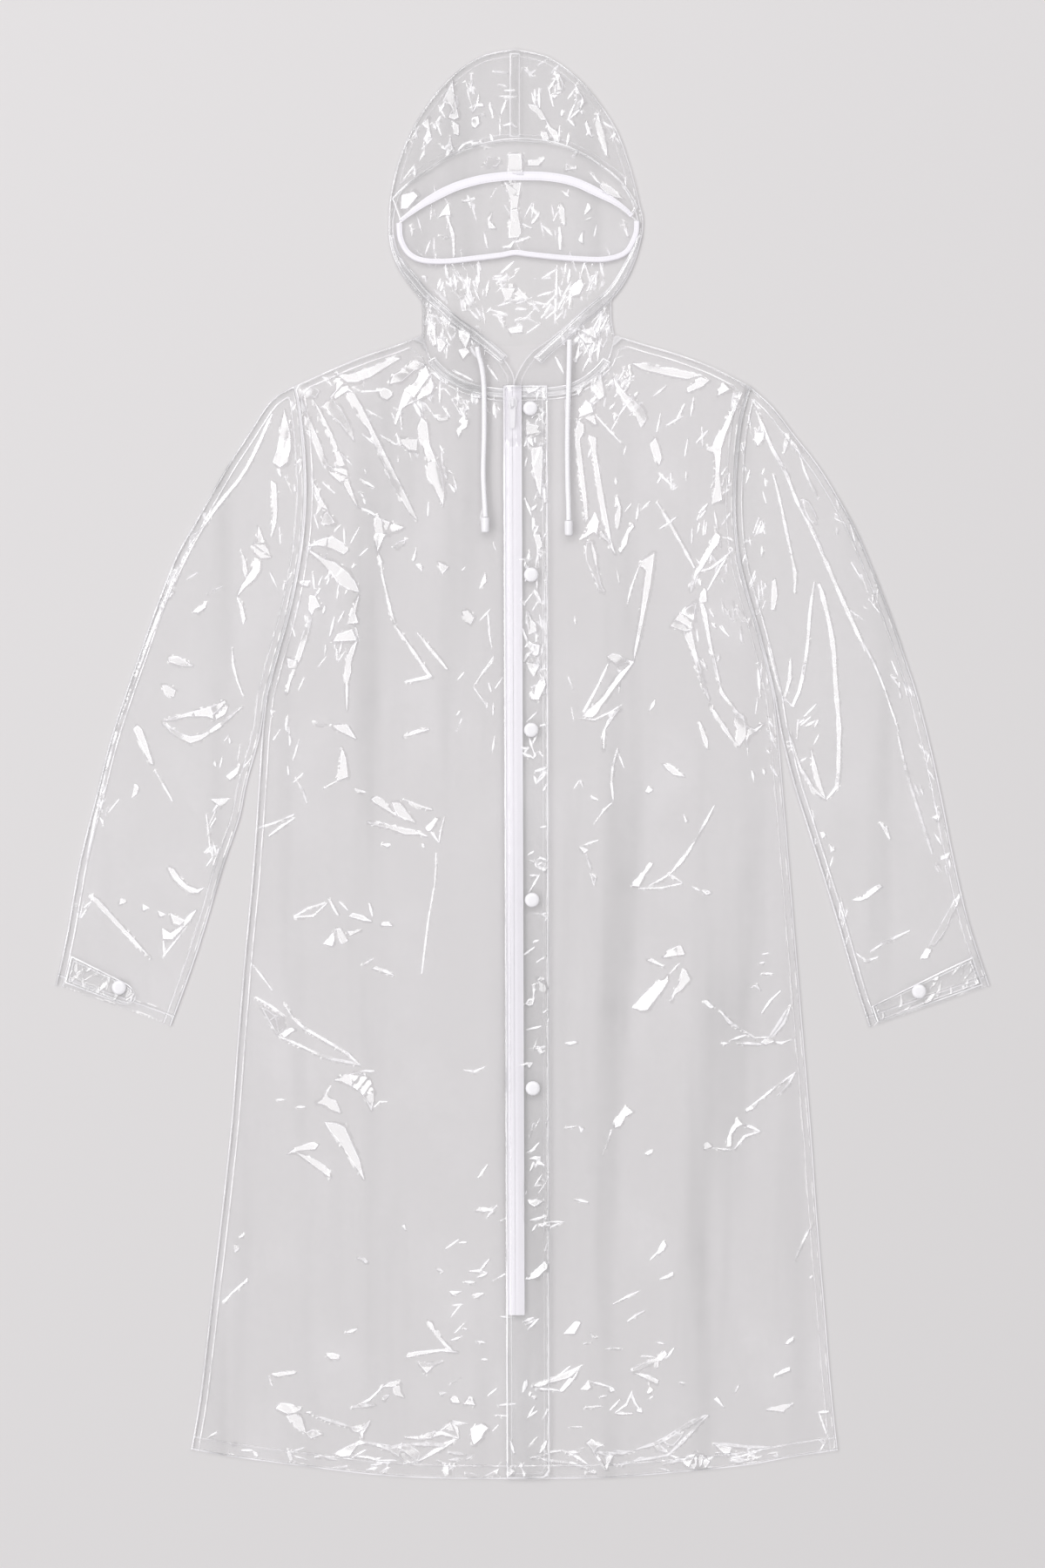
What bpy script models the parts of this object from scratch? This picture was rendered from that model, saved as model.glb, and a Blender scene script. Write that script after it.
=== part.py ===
"""A clear hooded raincoat laid flat on a surface, face up, built from the pieces it is cut from.

X runs from the wearer's right sleeve to the left one, Y from the hem to the hood and Z up
from the surface. The tables and sizes are in millimetres, and meshes are made in metres.
Right and left are the wearer's, so the right side has negative X.
"""
import math

import bmesh
import bpy

MM = 0.001

# Walls, gaps and the air between layers
FILM = 1.0               # wall of a film piece
SEAM_GAP = 0.3           # between pieces that are sewn, or that lie on each other
AIR = 1.6                # air between two layers, away from their seams
AIR_RUN = 55.0           # distance from a seam over which that air builds up
HOOD_AIR_RUN = 32.0
CUFF_AIR_RUN = 40.0
FOLD_LIFT = 0.45         # share of a fold's height that lifts the wall off the layer below
FOLD_WALL = 0.5          # share of it that thickens the wall at the crest
TURN = 0.4               # how far a folded edge bulges past its outline
EDGE_INSET = 1.4         # from a folded edge to the hollow inside it
HEM_DEPTH, HEM_STEP = 14.0, 0.6      # the hem's turn-up, a second thickness of film

# Levels of the closed zip, which lies flat along the front
TAPE_UNDER, TAPE_THICK, TAPE_HALF = 4.2, 0.8, 9.0
COIL_THICK, COIL_HALF = 1.6, 2.6
ZIP_TOP_Y, COIL_TOP_Y, ZIP_END_Y = 369.0, 346.0, -537.0
SLIDER_Y, SLIDER_LONG, SLIDER_WIDE, SLIDER_THICK = 352.6, 12.0, 9.0, 2.6

# Trims
BINDING_THICK, BINDING_WALL = 0.9, 0.8
EDGE_BINDING_IN, EDGE_BINDING_OUT, EDGE_BINDING_BACK = 3.4, 2.6, 1.4
CASING_THICK = 1.6
NECK_BAND_HALF = 4.4
CROWN_TAPE_HALF = 5.0
SNAP_RADIUS, SNAP_SIDES = 7.2, 14
CORD_RADIUS, CORD_POINTS = 2.5, 17
STOPPER_RADIUS, STOPPER_LONG = 4.2, 14.5

# Outlines, as (x, y) points
SIDE_RIGHT = ((-323, -668), (-314, -614), (-304, -529), (-294, -444), (-284, -351), (-278, -274),
              (-271, -189), (-263, -104), (-257, -19), (-254, 28), (-250, 66))
SIDE_LEFT = ((308, -669), (302, -614), (295, -529), (288, -444), (282, -359), (275, -274),
             (268, -189), (261, -104), (254, -19), (250, 28), (246, 66))
ARMHOLE_RIGHT = ((-250, 66), (-240, 104), (-227, 151), (-217, 202), (-212, 253), (-213, 304),
                 (-218, 351), (-222, 369))
ARMHOLE_LEFT = ((246, 66), (238, 100), (229, 134), (219, 168), (211, 202), (207, 244), (208, 287),
                (212, 329), (219, 360), (222, 369))
HEM_RIGHT = ((-323, -668), (-279, -676), (-210, -685), (-144, -693), (-79, -696.5), (-6, -697))
HEM_LEFT = ((308, -669), (262, -676), (217, -684), (148, -691), (80, -696), (-6, -697))
SHOULDER_RIGHT = ((-222, 369), (-187, 385), (-153, 399), (-123, 409), (-97, 419))
SHOULDER_LEFT = ((222, 369), (187, 387), (153, 400), (119, 410), (90, 419))
NECK_RIGHT = ((-97, 419), (-89, 396), (-74, 380), (-52, 368), (-28, 363), (-9.5, 362))
NECK_LEFT = ((90, 419), (84, 397), (72, 382), (54, 370), (33, 364), (-9.5, 362))
NECK_BACK_Y = 408.0
HOOD_SEAM_X = -7.2
ZIP_LINE = ((-9.5, 362), (-6.0, -697))
SLEEVE_RIGHT_OUT = ((-224, 370), (-245, 355), (-268, 321), (-290, 287), (-319, 236), (-338, 202),
                    (-358, 151), (-376, 100), (-388, 66), (-402, 23), (-415, -28), (-432, -96),
                    (-444, -164), (-455, -215))
SLEEVE_RIGHT_IN = ((-250, 66), (-256, 28), (-269, -19), (-276, -53), (-292, -100), (-307, -151),
                   (-319, -189), (-331, -223), (-343, -255))
SLEEVE_LEFT_OUT = ((224, 370), (245, 348), (266, 321), (292, 287), (322, 236), (339, 198),
                   (360, 144), (375, 100), (386, 66), (399, 15), (410, -36), (422, -96),
                   (436, -155), (456, -216))
SLEEVE_LEFT_IN = ((246, 66), (253, 28), (265, -19), (277, -57), (292, -104), (308, -155),
                  (319, -193), (328, -223), (339, -256))
# The hood's sections from neck to crown: the point where the side is folded, the point on the
# front edge, and the height at which the section meets the seam down the back
HOOD_RIGHT = (
    # fold_x, fold_y, edge_x, edge_y, seam_y
    (-97, 419, -9.5, 362, 408),
    (-97, 428, -8, 379, 418),
    (-97, 436, -22, 401, 428),
    (-97, 444, -44, 419, 438),
    (-98, 452, -68, 437, 449),
    (-103, 459, -91, 460, 461),
    (-113, 472, -106, 477, 476),
    (-122, 487, -116, 489, 490),
    (-127, 501, -122, 502, 504),
    (-130, 516, -125, 516, 518),
    (-130, 533, -125, 533, 531),
    (-129, 550, -119, 556, 542),
    (-125, 572, -108, 567, 552),
    (-118, 596, -93, 578, 562),
    (-107, 620, -76, 589, 572),
    (-91, 646, -57, 598, 583),
    (-68, 672, -36, 604, 591),
    (-40, 691, -21, 607, 599),
    (-7.2, 698, -7.2, 608, 606))
HOOD_LEFT = (
    (90, 419, -9.5, 362, 408),
    (88, 428, -6, 379, 418),
    (87, 436, 8, 401, 428),
    (87, 445, 32, 419, 438),
    (87, 453, 58, 442, 449),
    (92, 459, 84, 465, 461),
    (101, 472, 94, 477, 476),
    (108, 487, 102, 490, 490),
    (113, 502, 107, 503, 504),
    (117, 516, 111, 517, 518),
    (118, 532, 112, 532, 531),
    (114, 549, 104, 554, 542),
    (109, 570, 94, 569, 552),
    (102, 593, 79, 581, 562),
    (93, 617, 62, 592, 572),
    (77, 643, 43, 601, 583),
    (55, 669, 23, 606, 591),
    (26, 690, 6, 607, 599),
    (-7.2, 698, -7.2, 608, 606))
CASING_RIGHT_OUT = ((-130, 516), (-127, 500), (-119, 482), (-108, 468), (-96, 454), (-82, 442),
                    (-67, 428), (-51, 415), (-35, 403), (-20, 391))
CASING_RIGHT_IN = ((-125, 516), (-121, 501), (-112, 487), (-102, 475), (-91, 462), (-77, 449),
                   (-62, 436), (-45, 424), (-30, 412), (-14, 398))
CASING_LEFT_OUT = ((117, 516), (112, 496), (106, 481), (97, 465), (87, 453), (77, 443), (60, 429),
                   (47, 416), (34, 405), (19, 391))
CASING_LEFT_IN = ((111, 517), (106, 501), (98, 486), (89, 471), (79, 459), (68, 450), (51, 435),
                  (39, 423), (26, 411), (11, 397))
BAND_TOP = ((-127, 552), (-119, 561), (-106, 572), (-93, 581), (-76, 592), (-57, 601), (-36, 607),
            (-7, 611), (23, 609), (43, 604), (62, 595), (79, 584), (94, 572), (106, 557), (113, 544))
PEAK_SEAM = ((-119, 530), (-110, 537), (-93, 549), (-68, 562), (-42, 570), (-17, 573.5), (0, 574),
             (26, 573), (51, 568), (77, 556), (96, 545), (107, 535))
PEAK_EDGE = ((-120.5, 523), (-118, 511), (-111, 498), (-97, 491), (-74, 490), (-46, 493), (-21, 496),
             (-7, 498.5), (6, 497), (34, 494), (62, 492), (80, 492), (94, 495), (101, 501),
             (104, 509), (106, 518))
FLAP_ROOT = ((-19, 370), (-15.5, -697))
FLAP_FREE = ((25.5, 370), (27.5, -696.5))
# Where the storm flap runs over the zip: distance from the zip's line, height of the flap
FLAP_OVER_ZIP = (
    # offset, under
    (-9.6, 5.3), (-5.5, 6.2), (-3.0, 7.2), (3.0, 7.2), (5.5, 6.4), (9.6, 5.3), (17.0, 4.2))
FLAP_OVER_SLIDER = 4.4
# The drawcords, each from the slit in its casing to its stopper
CORD_RIGHT = ((-43.8, 407, 8.7), (-42.6, 400, 8.5), (-39.6, 389, 7.6), (-37.6, 374, 6.9),
              (-37.0, 359, 6.8), (-36.8, 338, 6.8), (-37.0, 317, 6.8), (-37.6, 299, 6.8),
              (-37.8, 282, 6.8), (-37.0, 264, 7.1), (-36.2, 250, 7.9), (-35.8, 241, 8.5))
CORD_LEFT = ((46.3, 414, 8.7), (46.2, 406, 8.5), (46.0, 394, 7.6), (45.6, 378, 6.9),
             (44.9, 353, 6.8), (44.4, 330, 6.8), (44.2, 306, 6.8), (44.4, 288, 6.8),
             (44.7, 270, 6.8), (45.2, 256, 7.2), (45.4, 246, 8.0), (45.5, 238, 8.5))
FRONT_SNAPS = ((8.1, 347.2), (8.9, 184.9), (8.9, 33.6), (9.8, -132.2), (10.6, -315.8))
CUFF_SNAP_RIGHT = (-393.1, -217.6)
CUFF_SNAP_LEFT = (387.2, -221.4)
# Start and end along the cuff from its outer edge, then the lower and upper reach from the cuff
CUFF_TAB_SIZE = (8, 78, 5, 33)
CUFF_BAND_SIZE = (6, 115, 3, 33)

# The largest folds: both ends of each crest, its width and its height
FOLDS_FRONT_RIGHT = (
    # x0, y0, x1, y1, width, height
    (-180, 374, -112, 397, 24, 3.0), (-206, 355, -160, 254, 30, 4.0),
    (-170, 364, -105, 241, 24, 3.8), (-98, 338, -76, 254, 24, 3.0),
    (-130, 380, -92, 360, 24, 3.0), (-208, 212, -159, 169, 28, 4.0),
    (-142, 236, -125, 136, 24, 3.4), (-125, 136, -85, 86, 24, 3.0),
    (-161, 121, -172, 47, 24, 3.2), (-153, -57, -85, -72, 24, 2.8),
    (-216, -142, -136, -147, 30, 3.4), (-261, -227, -158, -293, 28, 4.0),
    (-181, -306, -146, -334, 28, 3.4), (-190, -349, -153, -405, 26, 3.4),
    (-228, -380, -187, -402, 26, 3.0), (-175, -660, -66, -652, 28, 3.8),
    (-166, -626, -116, -606, 24, 2.8), (-112, -578, -59, -574, 24, 2.6),
    (-250, -60, -218, -49, 24, 2.6), (-85, -108, -98, -204, 24, 2.2),
    (-240, -629, -210, -654, 26, 3.0))
FOLDS_FRONT_LEFT = (
    (110, 392, 208, 369, 24, 3.2), (92, 368, 119, 329, 24, 3.2),
    (208, 352, 187, 312, 24, 3.6), (187, 312, 194, 261, 24, 3.0),
    (76, 319, 87, 208, 24, 3.0), (132, 254, 165, 198, 24, 2.8),
    (124, 202, 111, 106, 26, 4.0), (108, 99, 66, 45, 26, 4.0),
    (191, 223, 162, 147, 24, 3.4), (162, 138, 213, 23, 34, 4.0),
    (115, -121, 187, -40, 24, 2.8), (108, -238, 142, -204, 26, 3.2),
    (179, -232, 236, -268, 26, 3.2), (236, -268, 256, -236, 24, 2.8),
    (220, -338, 262, -300, 24, 2.8), (199, -375, 232, -357, 26, 3.2),
    (79, -382, 104, -336, 24, 2.6), (44, -606, 72, -589, 24, 2.6),
    (105, -589, 141, -574, 26, 3.0), (76, -664, 181, -631, 28, 3.8),
    (190, -655, 238, -660, 24, 2.8))
FOLDS_SLEEVE_RIGHT = (
    (-234, 340, -240, 300, 24, 3.0), (-250, 326, -335, 180, 24, 3.2),
    (-256, 228, -267, 172, 26, 3.8), (-351, 41, -285, 54, 34, 4.0),
    (-378, 35, -339, -40, 24, 3.2), (-421, -128, -362, -187, 24, 3.4),
    (-354, -159, -322, -145, 24, 3.0), (-340, -101, -312, -118, 22, 2.6))
FOLDS_SLEEVE_LEFT = (
    (240, 308, 335, 115, 24, 3.4), (244, 289, 262, 157, 24, 3.4),
    (285, 170, 292, -10, 42, 4.0), (266, 100, 264, 57, 22, 2.6),
    (392, -182, 421, -135, 24, 3.2), (326, -132, 354, -116, 22, 2.6),
    (338, -192, 383, -163, 24, 2.6))
FOLDS_HOOD = (
    (-72, 665, -66, 622, 18, 3.2), (34, 674, 39, 650, 18, 2.8),
    (53, 661, 47, 631, 16, 3.2), (74, 631, 80, 602, 15, 2.8),
    (-46, 661, -44, 627, 16, 3.0), (-95, 627, -100, 606, 14, 2.6))

# How finely the pieces are divided
ARM_STEPS = 10           # along an armhole, shared by body and sleeve
NECK_STEPS = 7           # along half a neckline, shared by front and hood
SHOULDER_STEPS = 6
FRONT_ROWS = 19          # from hem to underarm
BACK_ROWS = 8
SLEEVE_STEPS = 17
HOOD_BACK_STEPS = 4
CROWN_START = 12         # the hood's row where its sections come twice as close
PEAK_STEPS = 20


class Path:
    """A smooth line through points, walked from 0 to 1 by its length; stretches meet at corners"""

    FINE = 8

    def __init__(self, *stretches):
        self.points = []
        for stretch in stretches:
            for index in range(len(stretch) - 1):
                self.points += self.bend(stretch, index)
        self.points.append(tuple(stretches[-1][-1]))
        self.reach = [0.0]
        for one, two in zip(self.points, self.points[1:]):
            self.reach.append(self.reach[-1] + math.dist(one, two))
        self.length = self.reach[-1]

    def bend(self, stretch, index):
        a = stretch[max(index - 1, 0)]
        b, c = stretch[index], stretch[index + 1]
        d = stretch[min(index + 2, len(stretch) - 1)]
        made = []
        for step in range(self.FINE):
            t = step / self.FINE
            made.append(tuple(
                0.5 * (2 * q + (r - p) * t + (2 * p - 5 * q + 4 * r - s) * t * t
                       + (3 * q - p - 3 * r + s) * t ** 3)
                for p, q, r, s in zip(a, b, c, d)))
        return made

    def at(self, t):
        want = min(max(t, 0.0), 1.0) * self.length
        low, high = 0, len(self.reach) - 1
        while high - low > 1:
            middle = (low + high) // 2
            if self.reach[middle] <= want:
                low = middle
            else:
                high = middle
        share = (want - self.reach[low]) / (self.reach[high] - self.reach[low])
        return tuple(p + (q - p) * share for p, q in zip(self.points[low], self.points[high]))

    def side(self, t):
        """The unit vector to the left of the line's direction at t, seen from above"""
        (x0, y0), (x1, y1) = self.at(t - 0.01)[:2], self.at(t + 0.01)[:2]
        size = math.hypot(x1 - x0, y1 - y0)
        return -(y1 - y0) / size, (x1 - x0) / size

    def cross(self, value, axis):
        """The other coordinate where the line passes value on the axis (0 for x, 1 for y)"""
        nearest = min(self.points, key=lambda point: abs(point[axis] - value))
        for one, two in zip(self.points, self.points[1:]):
            if (one[axis] - value) * (two[axis] - value) <= 0 and one[axis] != two[axis]:
                share = (value - one[axis]) / (two[axis] - one[axis])
                return one[1 - axis] + (two[1 - axis] - one[1 - axis]) * share
        return nearest[1 - axis]

    def distance(self, x, y):
        return min(math.hypot(x - px, y - py) for px, py in self.points)


def patch(foot, head, near, far):
    """A function of (u, v) that fills the outline between four paths"""
    corners = foot.at(0), foot.at(1), head.at(0), head.at(1)

    def point(u, v):
        edges = foot.at(u), head.at(u), near.at(v), far.at(v)
        made = []
        for axis in (0, 1):
            f, h, n, r = (edge[axis] for edge in edges)
            c00, c10, c01, c11 = (corner[axis] for corner in corners)
            flat = ((1 - u) * ((1 - v) * c00 + v * c01) + u * ((1 - v) * c10 + v * c11))
            made.append((1 - v) * f + v * h + (1 - u) * n + u * r - flat)
        return tuple(made)
    return point


def rise(t):
    t = min(max(t, 0.0), 1.0)
    return t * t * (3 - 2 * t)


def steps(start, end, count):
    return [start + (end - start) * index / count for index in range(count + 1)]


def lookup(table, value):
    """Straight-line reading of a two-column table"""
    if value <= table[0][0]:
        return table[0][1]
    for (x0, y0), (x1, y1) in zip(table, table[1:]):
        if value <= x1:
            return y0 + (y1 - y0) * (value - x0) / (x1 - x0)
    return table[-1][1]


def fold_height(x, y, folds):
    """Height of the highest fold here: each is a soft ridge that dies out at both ends"""
    highest = 0.0
    for x0, y0, x1, y1, width, height in folds:
        length2 = (x1 - x0) ** 2 + (y1 - y0) ** 2
        along = ((x - x0) * (x1 - x0) + (y - y0) * (y1 - y0)) / length2
        along = min(max(along, 0.0), 1.0)
        off = math.hypot(x - x0 - (x1 - x0) * along, y - y0 - (y1 - y0) * along) / (width / 2)
        if off < 1:
            crest = height * (0.55 + 0.45 * math.sin(math.pi * along))
            highest = max(highest, crest * (1 - off * off) ** 2)
    return highest


def layer(air, fold):
    """Under and upper height of a top layer, from the air below it and its fold"""
    under = FILM + SEAM_GAP + air + FOLD_LIFT * fold
    return under, under + FILM + FOLD_WALL * fold


side_right = Path(SIDE_RIGHT, ARMHOLE_RIGHT)
side_left = Path(SIDE_LEFT, ARMHOLE_LEFT)
armhole_right, armhole_left = Path(ARMHOLE_RIGHT), Path(ARMHOLE_LEFT)
hem_right, hem_left = Path(HEM_RIGHT), Path(HEM_LEFT)
hem = Path(HEM_RIGHT, HEM_LEFT[::-1])
neck_right, neck_left = Path(NECK_RIGHT), Path(NECK_LEFT)
shoulder_right, shoulder_left = Path(SHOULDER_RIGHT), Path(SHOULDER_LEFT)
top_right = Path(SHOULDER_RIGHT, NECK_RIGHT)
top_left = Path(SHOULDER_LEFT, NECK_LEFT)
zip_line = Path(ZIP_LINE)
hood_outline = Path([row[:2] for row in HOOD_RIGHT] + [row[:2] for row in reversed(HOOD_LEFT)])


def body_layer(x, y):
    """Under and upper height of the fronts at a point of the laid coat"""
    right = x < zip_line.cross(y, 1)
    side, top = (side_right, top_right) if right else (side_left, top_left)
    inward = abs(x - side.cross(y, 1))
    up = y - hem.cross(x, 0)
    down = top.cross(x, 0) - y
    air = AIR * rise(inward / AIR_RUN) * rise(up / AIR_RUN) * rise(down / AIR_RUN)
    folds = FOLDS_FRONT_RIGHT if right else FOLDS_FRONT_LEFT
    under, over = layer(air, fold_height(x, y, folds))
    return under, over + HEM_STEP * rise((HEM_DEPTH - up) / 2)


def hood_layer(x, y):
    """Under and upper height of the hood's top layer, also where its opening leaves it out"""
    neck = neck_right if x < HOOD_SEAM_X else neck_left
    outline = rise(hood_outline.distance(x, y) / HOOD_AIR_RUN)
    air = AIR * outline * rise((y - neck.cross(x, 0)) / HOOD_AIR_RUN)
    return layer(air, fold_height(x, y, FOLDS_HOOD))


def material(name, colour, roughness, alpha=1.0):
    made = bpy.data.materials.new(name)
    made.use_nodes = True
    shader = made.node_tree.nodes["Principled BSDF"]
    shader.inputs["Base Color"].default_value = (*colour, 1.0)
    shader.inputs["Roughness"].default_value = roughness
    shader.inputs["Metallic"].default_value = 0.0
    shader.inputs["Alpha"].default_value = alpha
    made.diffuse_color = (*colour, alpha)
    return made


def add(name, data, finish):
    """Put a piece in the coat's collection, with its finish and smooth shading"""
    piece = bpy.data.objects.new(name, data)
    coat.objects.link(piece)
    data.materials.append(finish)
    if isinstance(data, bpy.types.Mesh):
        data.shade_smooth()
        data.set_sharp_from_angle(angle=math.radians(35))
    return piece


def wall(name, outer, inner, finish, around=False):
    """A closed wall between two grids of (x, y, z) rows; around joins each row into a ring"""
    shape = bmesh.new()
    grids = [[[shape.verts.new([value * MM for value in point]) for point in row] for row in grid]
             for grid in (outer, inner)]
    rows, columns = len(outer), len(outer[0])
    spans = columns if around else columns - 1
    for grid, turned in zip(grids, (False, True)):
        for i in range(rows - 1):
            for j in range(spans):
                k = (j + 1) % columns
                face = [grid[i][j], grid[i][k], grid[i + 1][k], grid[i + 1][j]]
                shape.faces.new(face[::-1] if turned else face)
    first, second = grids
    for i in (0, rows - 1):
        for j in range(spans):
            k = (j + 1) % columns
            shape.faces.new([first[i][j], first[i][k], second[i][k], second[i][j]])
    if not around:
        for j in (0, columns - 1):
            for i in range(rows - 1):
                shape.faces.new([first[i][j], first[i + 1][j], second[i + 1][j], second[i][j]])
    bmesh.ops.recalc_face_normals(shape, faces=shape.faces)
    data = bpy.data.meshes.new(name)
    shape.to_mesh(data)
    shape.free()
    return add(name, data, finish)


def sheet(name, places, heights, finish):
    """A wall over rows of (x, y) places, with heights(x, y) giving its under and upper side"""
    levels = [[heights(*place) for place in row] for row in places]
    sides = [[[(*place, level[side]) for place, level in zip(row, line)]
              for row, line in zip(places, levels)] for side in (1, 0)]
    return wall(name, *sides, finish)


def moved_out(heights, thickness, lift=0.0):
    """Heights for a piece that lies on the surface whose layer the given function returns"""
    def made(x, y):
        under = heights(x, y)[1] + SEAM_GAP + lift
        return under, under + thickness
    return made


def between(near, far, rows, across, trim=0.0):
    """Rows of places from one path to the other, with an optional margin at both edges"""
    places = []
    for t in steps(0, 1, rows):
        (x0, y0), (x1, y1) = near.at(t), far.at(t)
        margin = trim / math.dist((x0, y0), (x1, y1))
        places.append([(x0 + (x1 - x0) * s, y0 + (y1 - y0) * s)
                       for s in steps(margin, 1 - margin, across)])
    return places


def split_at(path, first, head_steps, tail_steps):
    """Fractions along a path of two stretches, the first of them the given path"""
    corner = first.length / path.length
    return steps(0, corner, head_steps) + steps(corner, 1, tail_steps)[1:]


def back_panel():
    """One flat panel from hem to shoulders, which the whole coat lies on"""
    neck = ((-97, 419), (HOOD_SEAM_X, NECK_BACK_Y))
    other = ((HOOD_SEAM_X, NECK_BACK_Y), (90, 419))
    head = Path(SHOULDER_RIGHT, neck, other, SHOULDER_LEFT[::-1])
    place = patch(hem, head, side_right, side_left)
    corners = [shoulder_right.length]
    corners.append(corners[-1] + math.dist(*neck))
    corners.append(corners[-1] + math.dist(*other))
    corners = [0.0] + [corner / head.length for corner in corners] + [1.0]
    columns = [0.0]
    for (low, high), count in zip(zip(corners, corners[1:]), (4, 2, 2, 4)):
        columns += steps(low, high, count)[1:]
    rows = split_at(side_right, Path(SIDE_RIGHT), BACK_ROWS, ARM_STEPS)
    places = [[place(u, v) for u in columns] for v in rows]
    return sheet("back_panel", places, lambda x, y: (0.0, FILM), film)


def front_panel(name, foot, top, shoulder, side, lower, direction):
    """Half of the front, from the side seam to the zip's line"""
    place = patch(foot, top, side, Path(ZIP_LINE[::-1]))
    columns = split_at(top, shoulder, SHOULDER_STEPS, NECK_STEPS)
    rows = split_at(side, lower, FRONT_ROWS, ARM_STEPS)
    rows[1:1] = [(HEM_DEPTH - 2) / side.length, HEM_DEPTH / side.length]
    places = []
    for v in rows:
        row = [place(u, v) for u in columns]
        row[-1] = (row[-1][0] + direction * SEAM_GAP / 2, row[-1][1])
        places.append(row)
    return sheet(name, places, body_layer, film)


def sleeve_place(armhole, out, inner, outward):
    """The (u, v) places of a laid sleeve: u from its outer to its inner edge, v down its length"""
    shift = outward * SEAM_GAP
    cap = Path([(x + shift, y) for x, y in reversed(armhole.points)])
    outer = Path([(cap.points[0])] + list(out[1:]))
    under_arm = Path([cap.points[-1]] + list(inner[1:]))
    cuff = Path([outer.points[-1], under_arm.points[-1]])
    return patch(cap, cuff, outer, under_arm), outer.length


def sleeve_layer(place, length, folds):
    """Heights of the sleeve's top layer by (u, v)"""
    def made(u, v):
        x, y = place(u, v)
        wide = math.dist(place(0, v), place(1, v))
        air = AIR * rise(u * wide / AIR_RUN) * rise((1 - u) * wide / AIR_RUN)
        air *= rise(v * length / AIR_RUN) * rise((1 - v) * length / CUFF_AIR_RUN)
        return layer(air, fold_height(x, y, folds))
    return made


def sleeve(name, place, heights):
    """A flattened tube, open at the armhole and the cuff: one layer down, one laid over it"""
    outer, inner = [], []
    low_columns = steps(0, 1, ARM_STEPS)
    for v in steps(0, 1, SLEEVE_STEPS):
        wide = math.dist(place(0, v), place(1, v))
        inset = EDGE_INSET / wide
        bulge = TURN / wide
        inside = steps(inset, 1 - inset, ARM_STEPS)
        levels = [heights(u, v) for u in low_columns]
        middle = FILM + SEAM_GAP / 2
        outer.append([(*place(u, v), 0.0) for u in low_columns]
                     + [(*place(1 + bulge, v), middle)]
                     + [(*place(u, v), level[1])
                        for u, level in zip(reversed(low_columns), reversed(levels))]
                     + [(*place(-bulge, v), middle)])
        inner.append([(*place(u, v), FILM) for u in inside]
                     + [(*place(1 - inset, v), middle)]
                     + [(*place(u, v), level[0])
                        for u, level in zip(reversed(inside), reversed(levels))]
                     + [(*place(inset, v), middle)])
    return wall(name, outer, inner, film, around=True)


def cuff_piece(name, place, heights, length, size, rounded):
    """A tab or band on the sleeve's top layer, by its reach along the cuff and up from it"""
    start, end, low, high = size
    wide = math.dist(place(0, 1), place(1, 1))
    middle, half = (low + high) / 2, (high - low) / 2
    reaches = steps(start, end - half, 5) + [end - half * (1 - share) for share in (0.4, 0.75, 0.94, 1)]
    if not rounded:
        reaches = steps(start, end, 9)
    outer, inner = [], []
    for reach in reaches:
        past = max(reach - end + half, 0) / half if rounded else 0
        span = half * max(math.sqrt(1 - past * past), 0.2)
        over, under = [], []
        for up in steps(middle - span, middle + span, 3):
            u, v = reach / wide, 1 - up / length
            spot, base = place(u, v), heights(u, v)[1] + SEAM_GAP
            over.append((*spot, base + FILM))
            under.append((*spot, base))
        outer.append(over)
        inner.append(under)
    return wall(name, outer, inner, film)


def hood_side(name, table, neck, direction):
    """One side of the hood: flat behind, folded at the outline, over to the face opening"""
    limit = HOOD_SEAM_X + direction * SEAM_GAP / 2
    across = steps(0, 1, NECK_STEPS)
    behind = steps(0, 1, HOOD_BACK_STEPS)
    outer, inner = [], []
    fades = (1.0, 0.72, 0.38, 0.12)
    crown = Path(table).points[CROWN_START * Path.FINE::Path.FINE // 2]
    sections = [*table[:CROWN_START], *crown]
    for number, (fold_x, fold_y, edge_x, edge_y, seam_y) in enumerate(sections):
        fade = fades[number] if number < len(fades) else 0.0

        def upper(w):
            x, y = fold_x + (edge_x - fold_x) * w, fold_y + (edge_y - fold_y) * w
            (x0, y0), (x1, y1), (xn, yn) = neck.at(0), neck.at(1), neck.at(w)
            nx, ny = neck.side(w)
            x += fade * (xn - x0 - (x1 - x0) * w - direction * nx * SEAM_GAP)
            y += fade * (yn - y0 - (y1 - y0) * w - direction * ny * SEAM_GAP)
            x = min(x, limit) if direction < 0 else max(x, limit)
            return x, y

        def lower(w):
            x = limit + (fold_x - HOOD_SEAM_X) * w
            x = min(x, limit) if direction < 0 else max(x, limit)
            return x, seam_y + (fold_y - seam_y) * w + SEAM_GAP

        spread = max(math.dist(upper(0), upper(1)), EDGE_INSET * 2)
        inset = EDGE_INSET / spread
        flat = EDGE_INSET / max(math.dist(lower(0), lower(1)), EDGE_INSET * 2)
        x, y = upper(0)
        turn = 0.0 if number in (0, len(sections) - 1) else TURN * direction
        edge = (x + turn, y, FILM + SEAM_GAP / 2)
        hollow = (*upper(inset), FILM + SEAM_GAP / 2)
        outer.append([(*lower(w), 0.0) for w in behind] + [edge]
                     + [(*upper(w), hood_layer(*upper(w))[1]) for w in across])
        inner.append([(*lower(w * (1 - flat)), FILM) for w in behind] + [hollow]
                     + [(*upper(max(w, inset)), hood_layer(*upper(max(w, inset)))[0])
                        for w in across])
    return wall(name, outer, inner, film)


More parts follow.
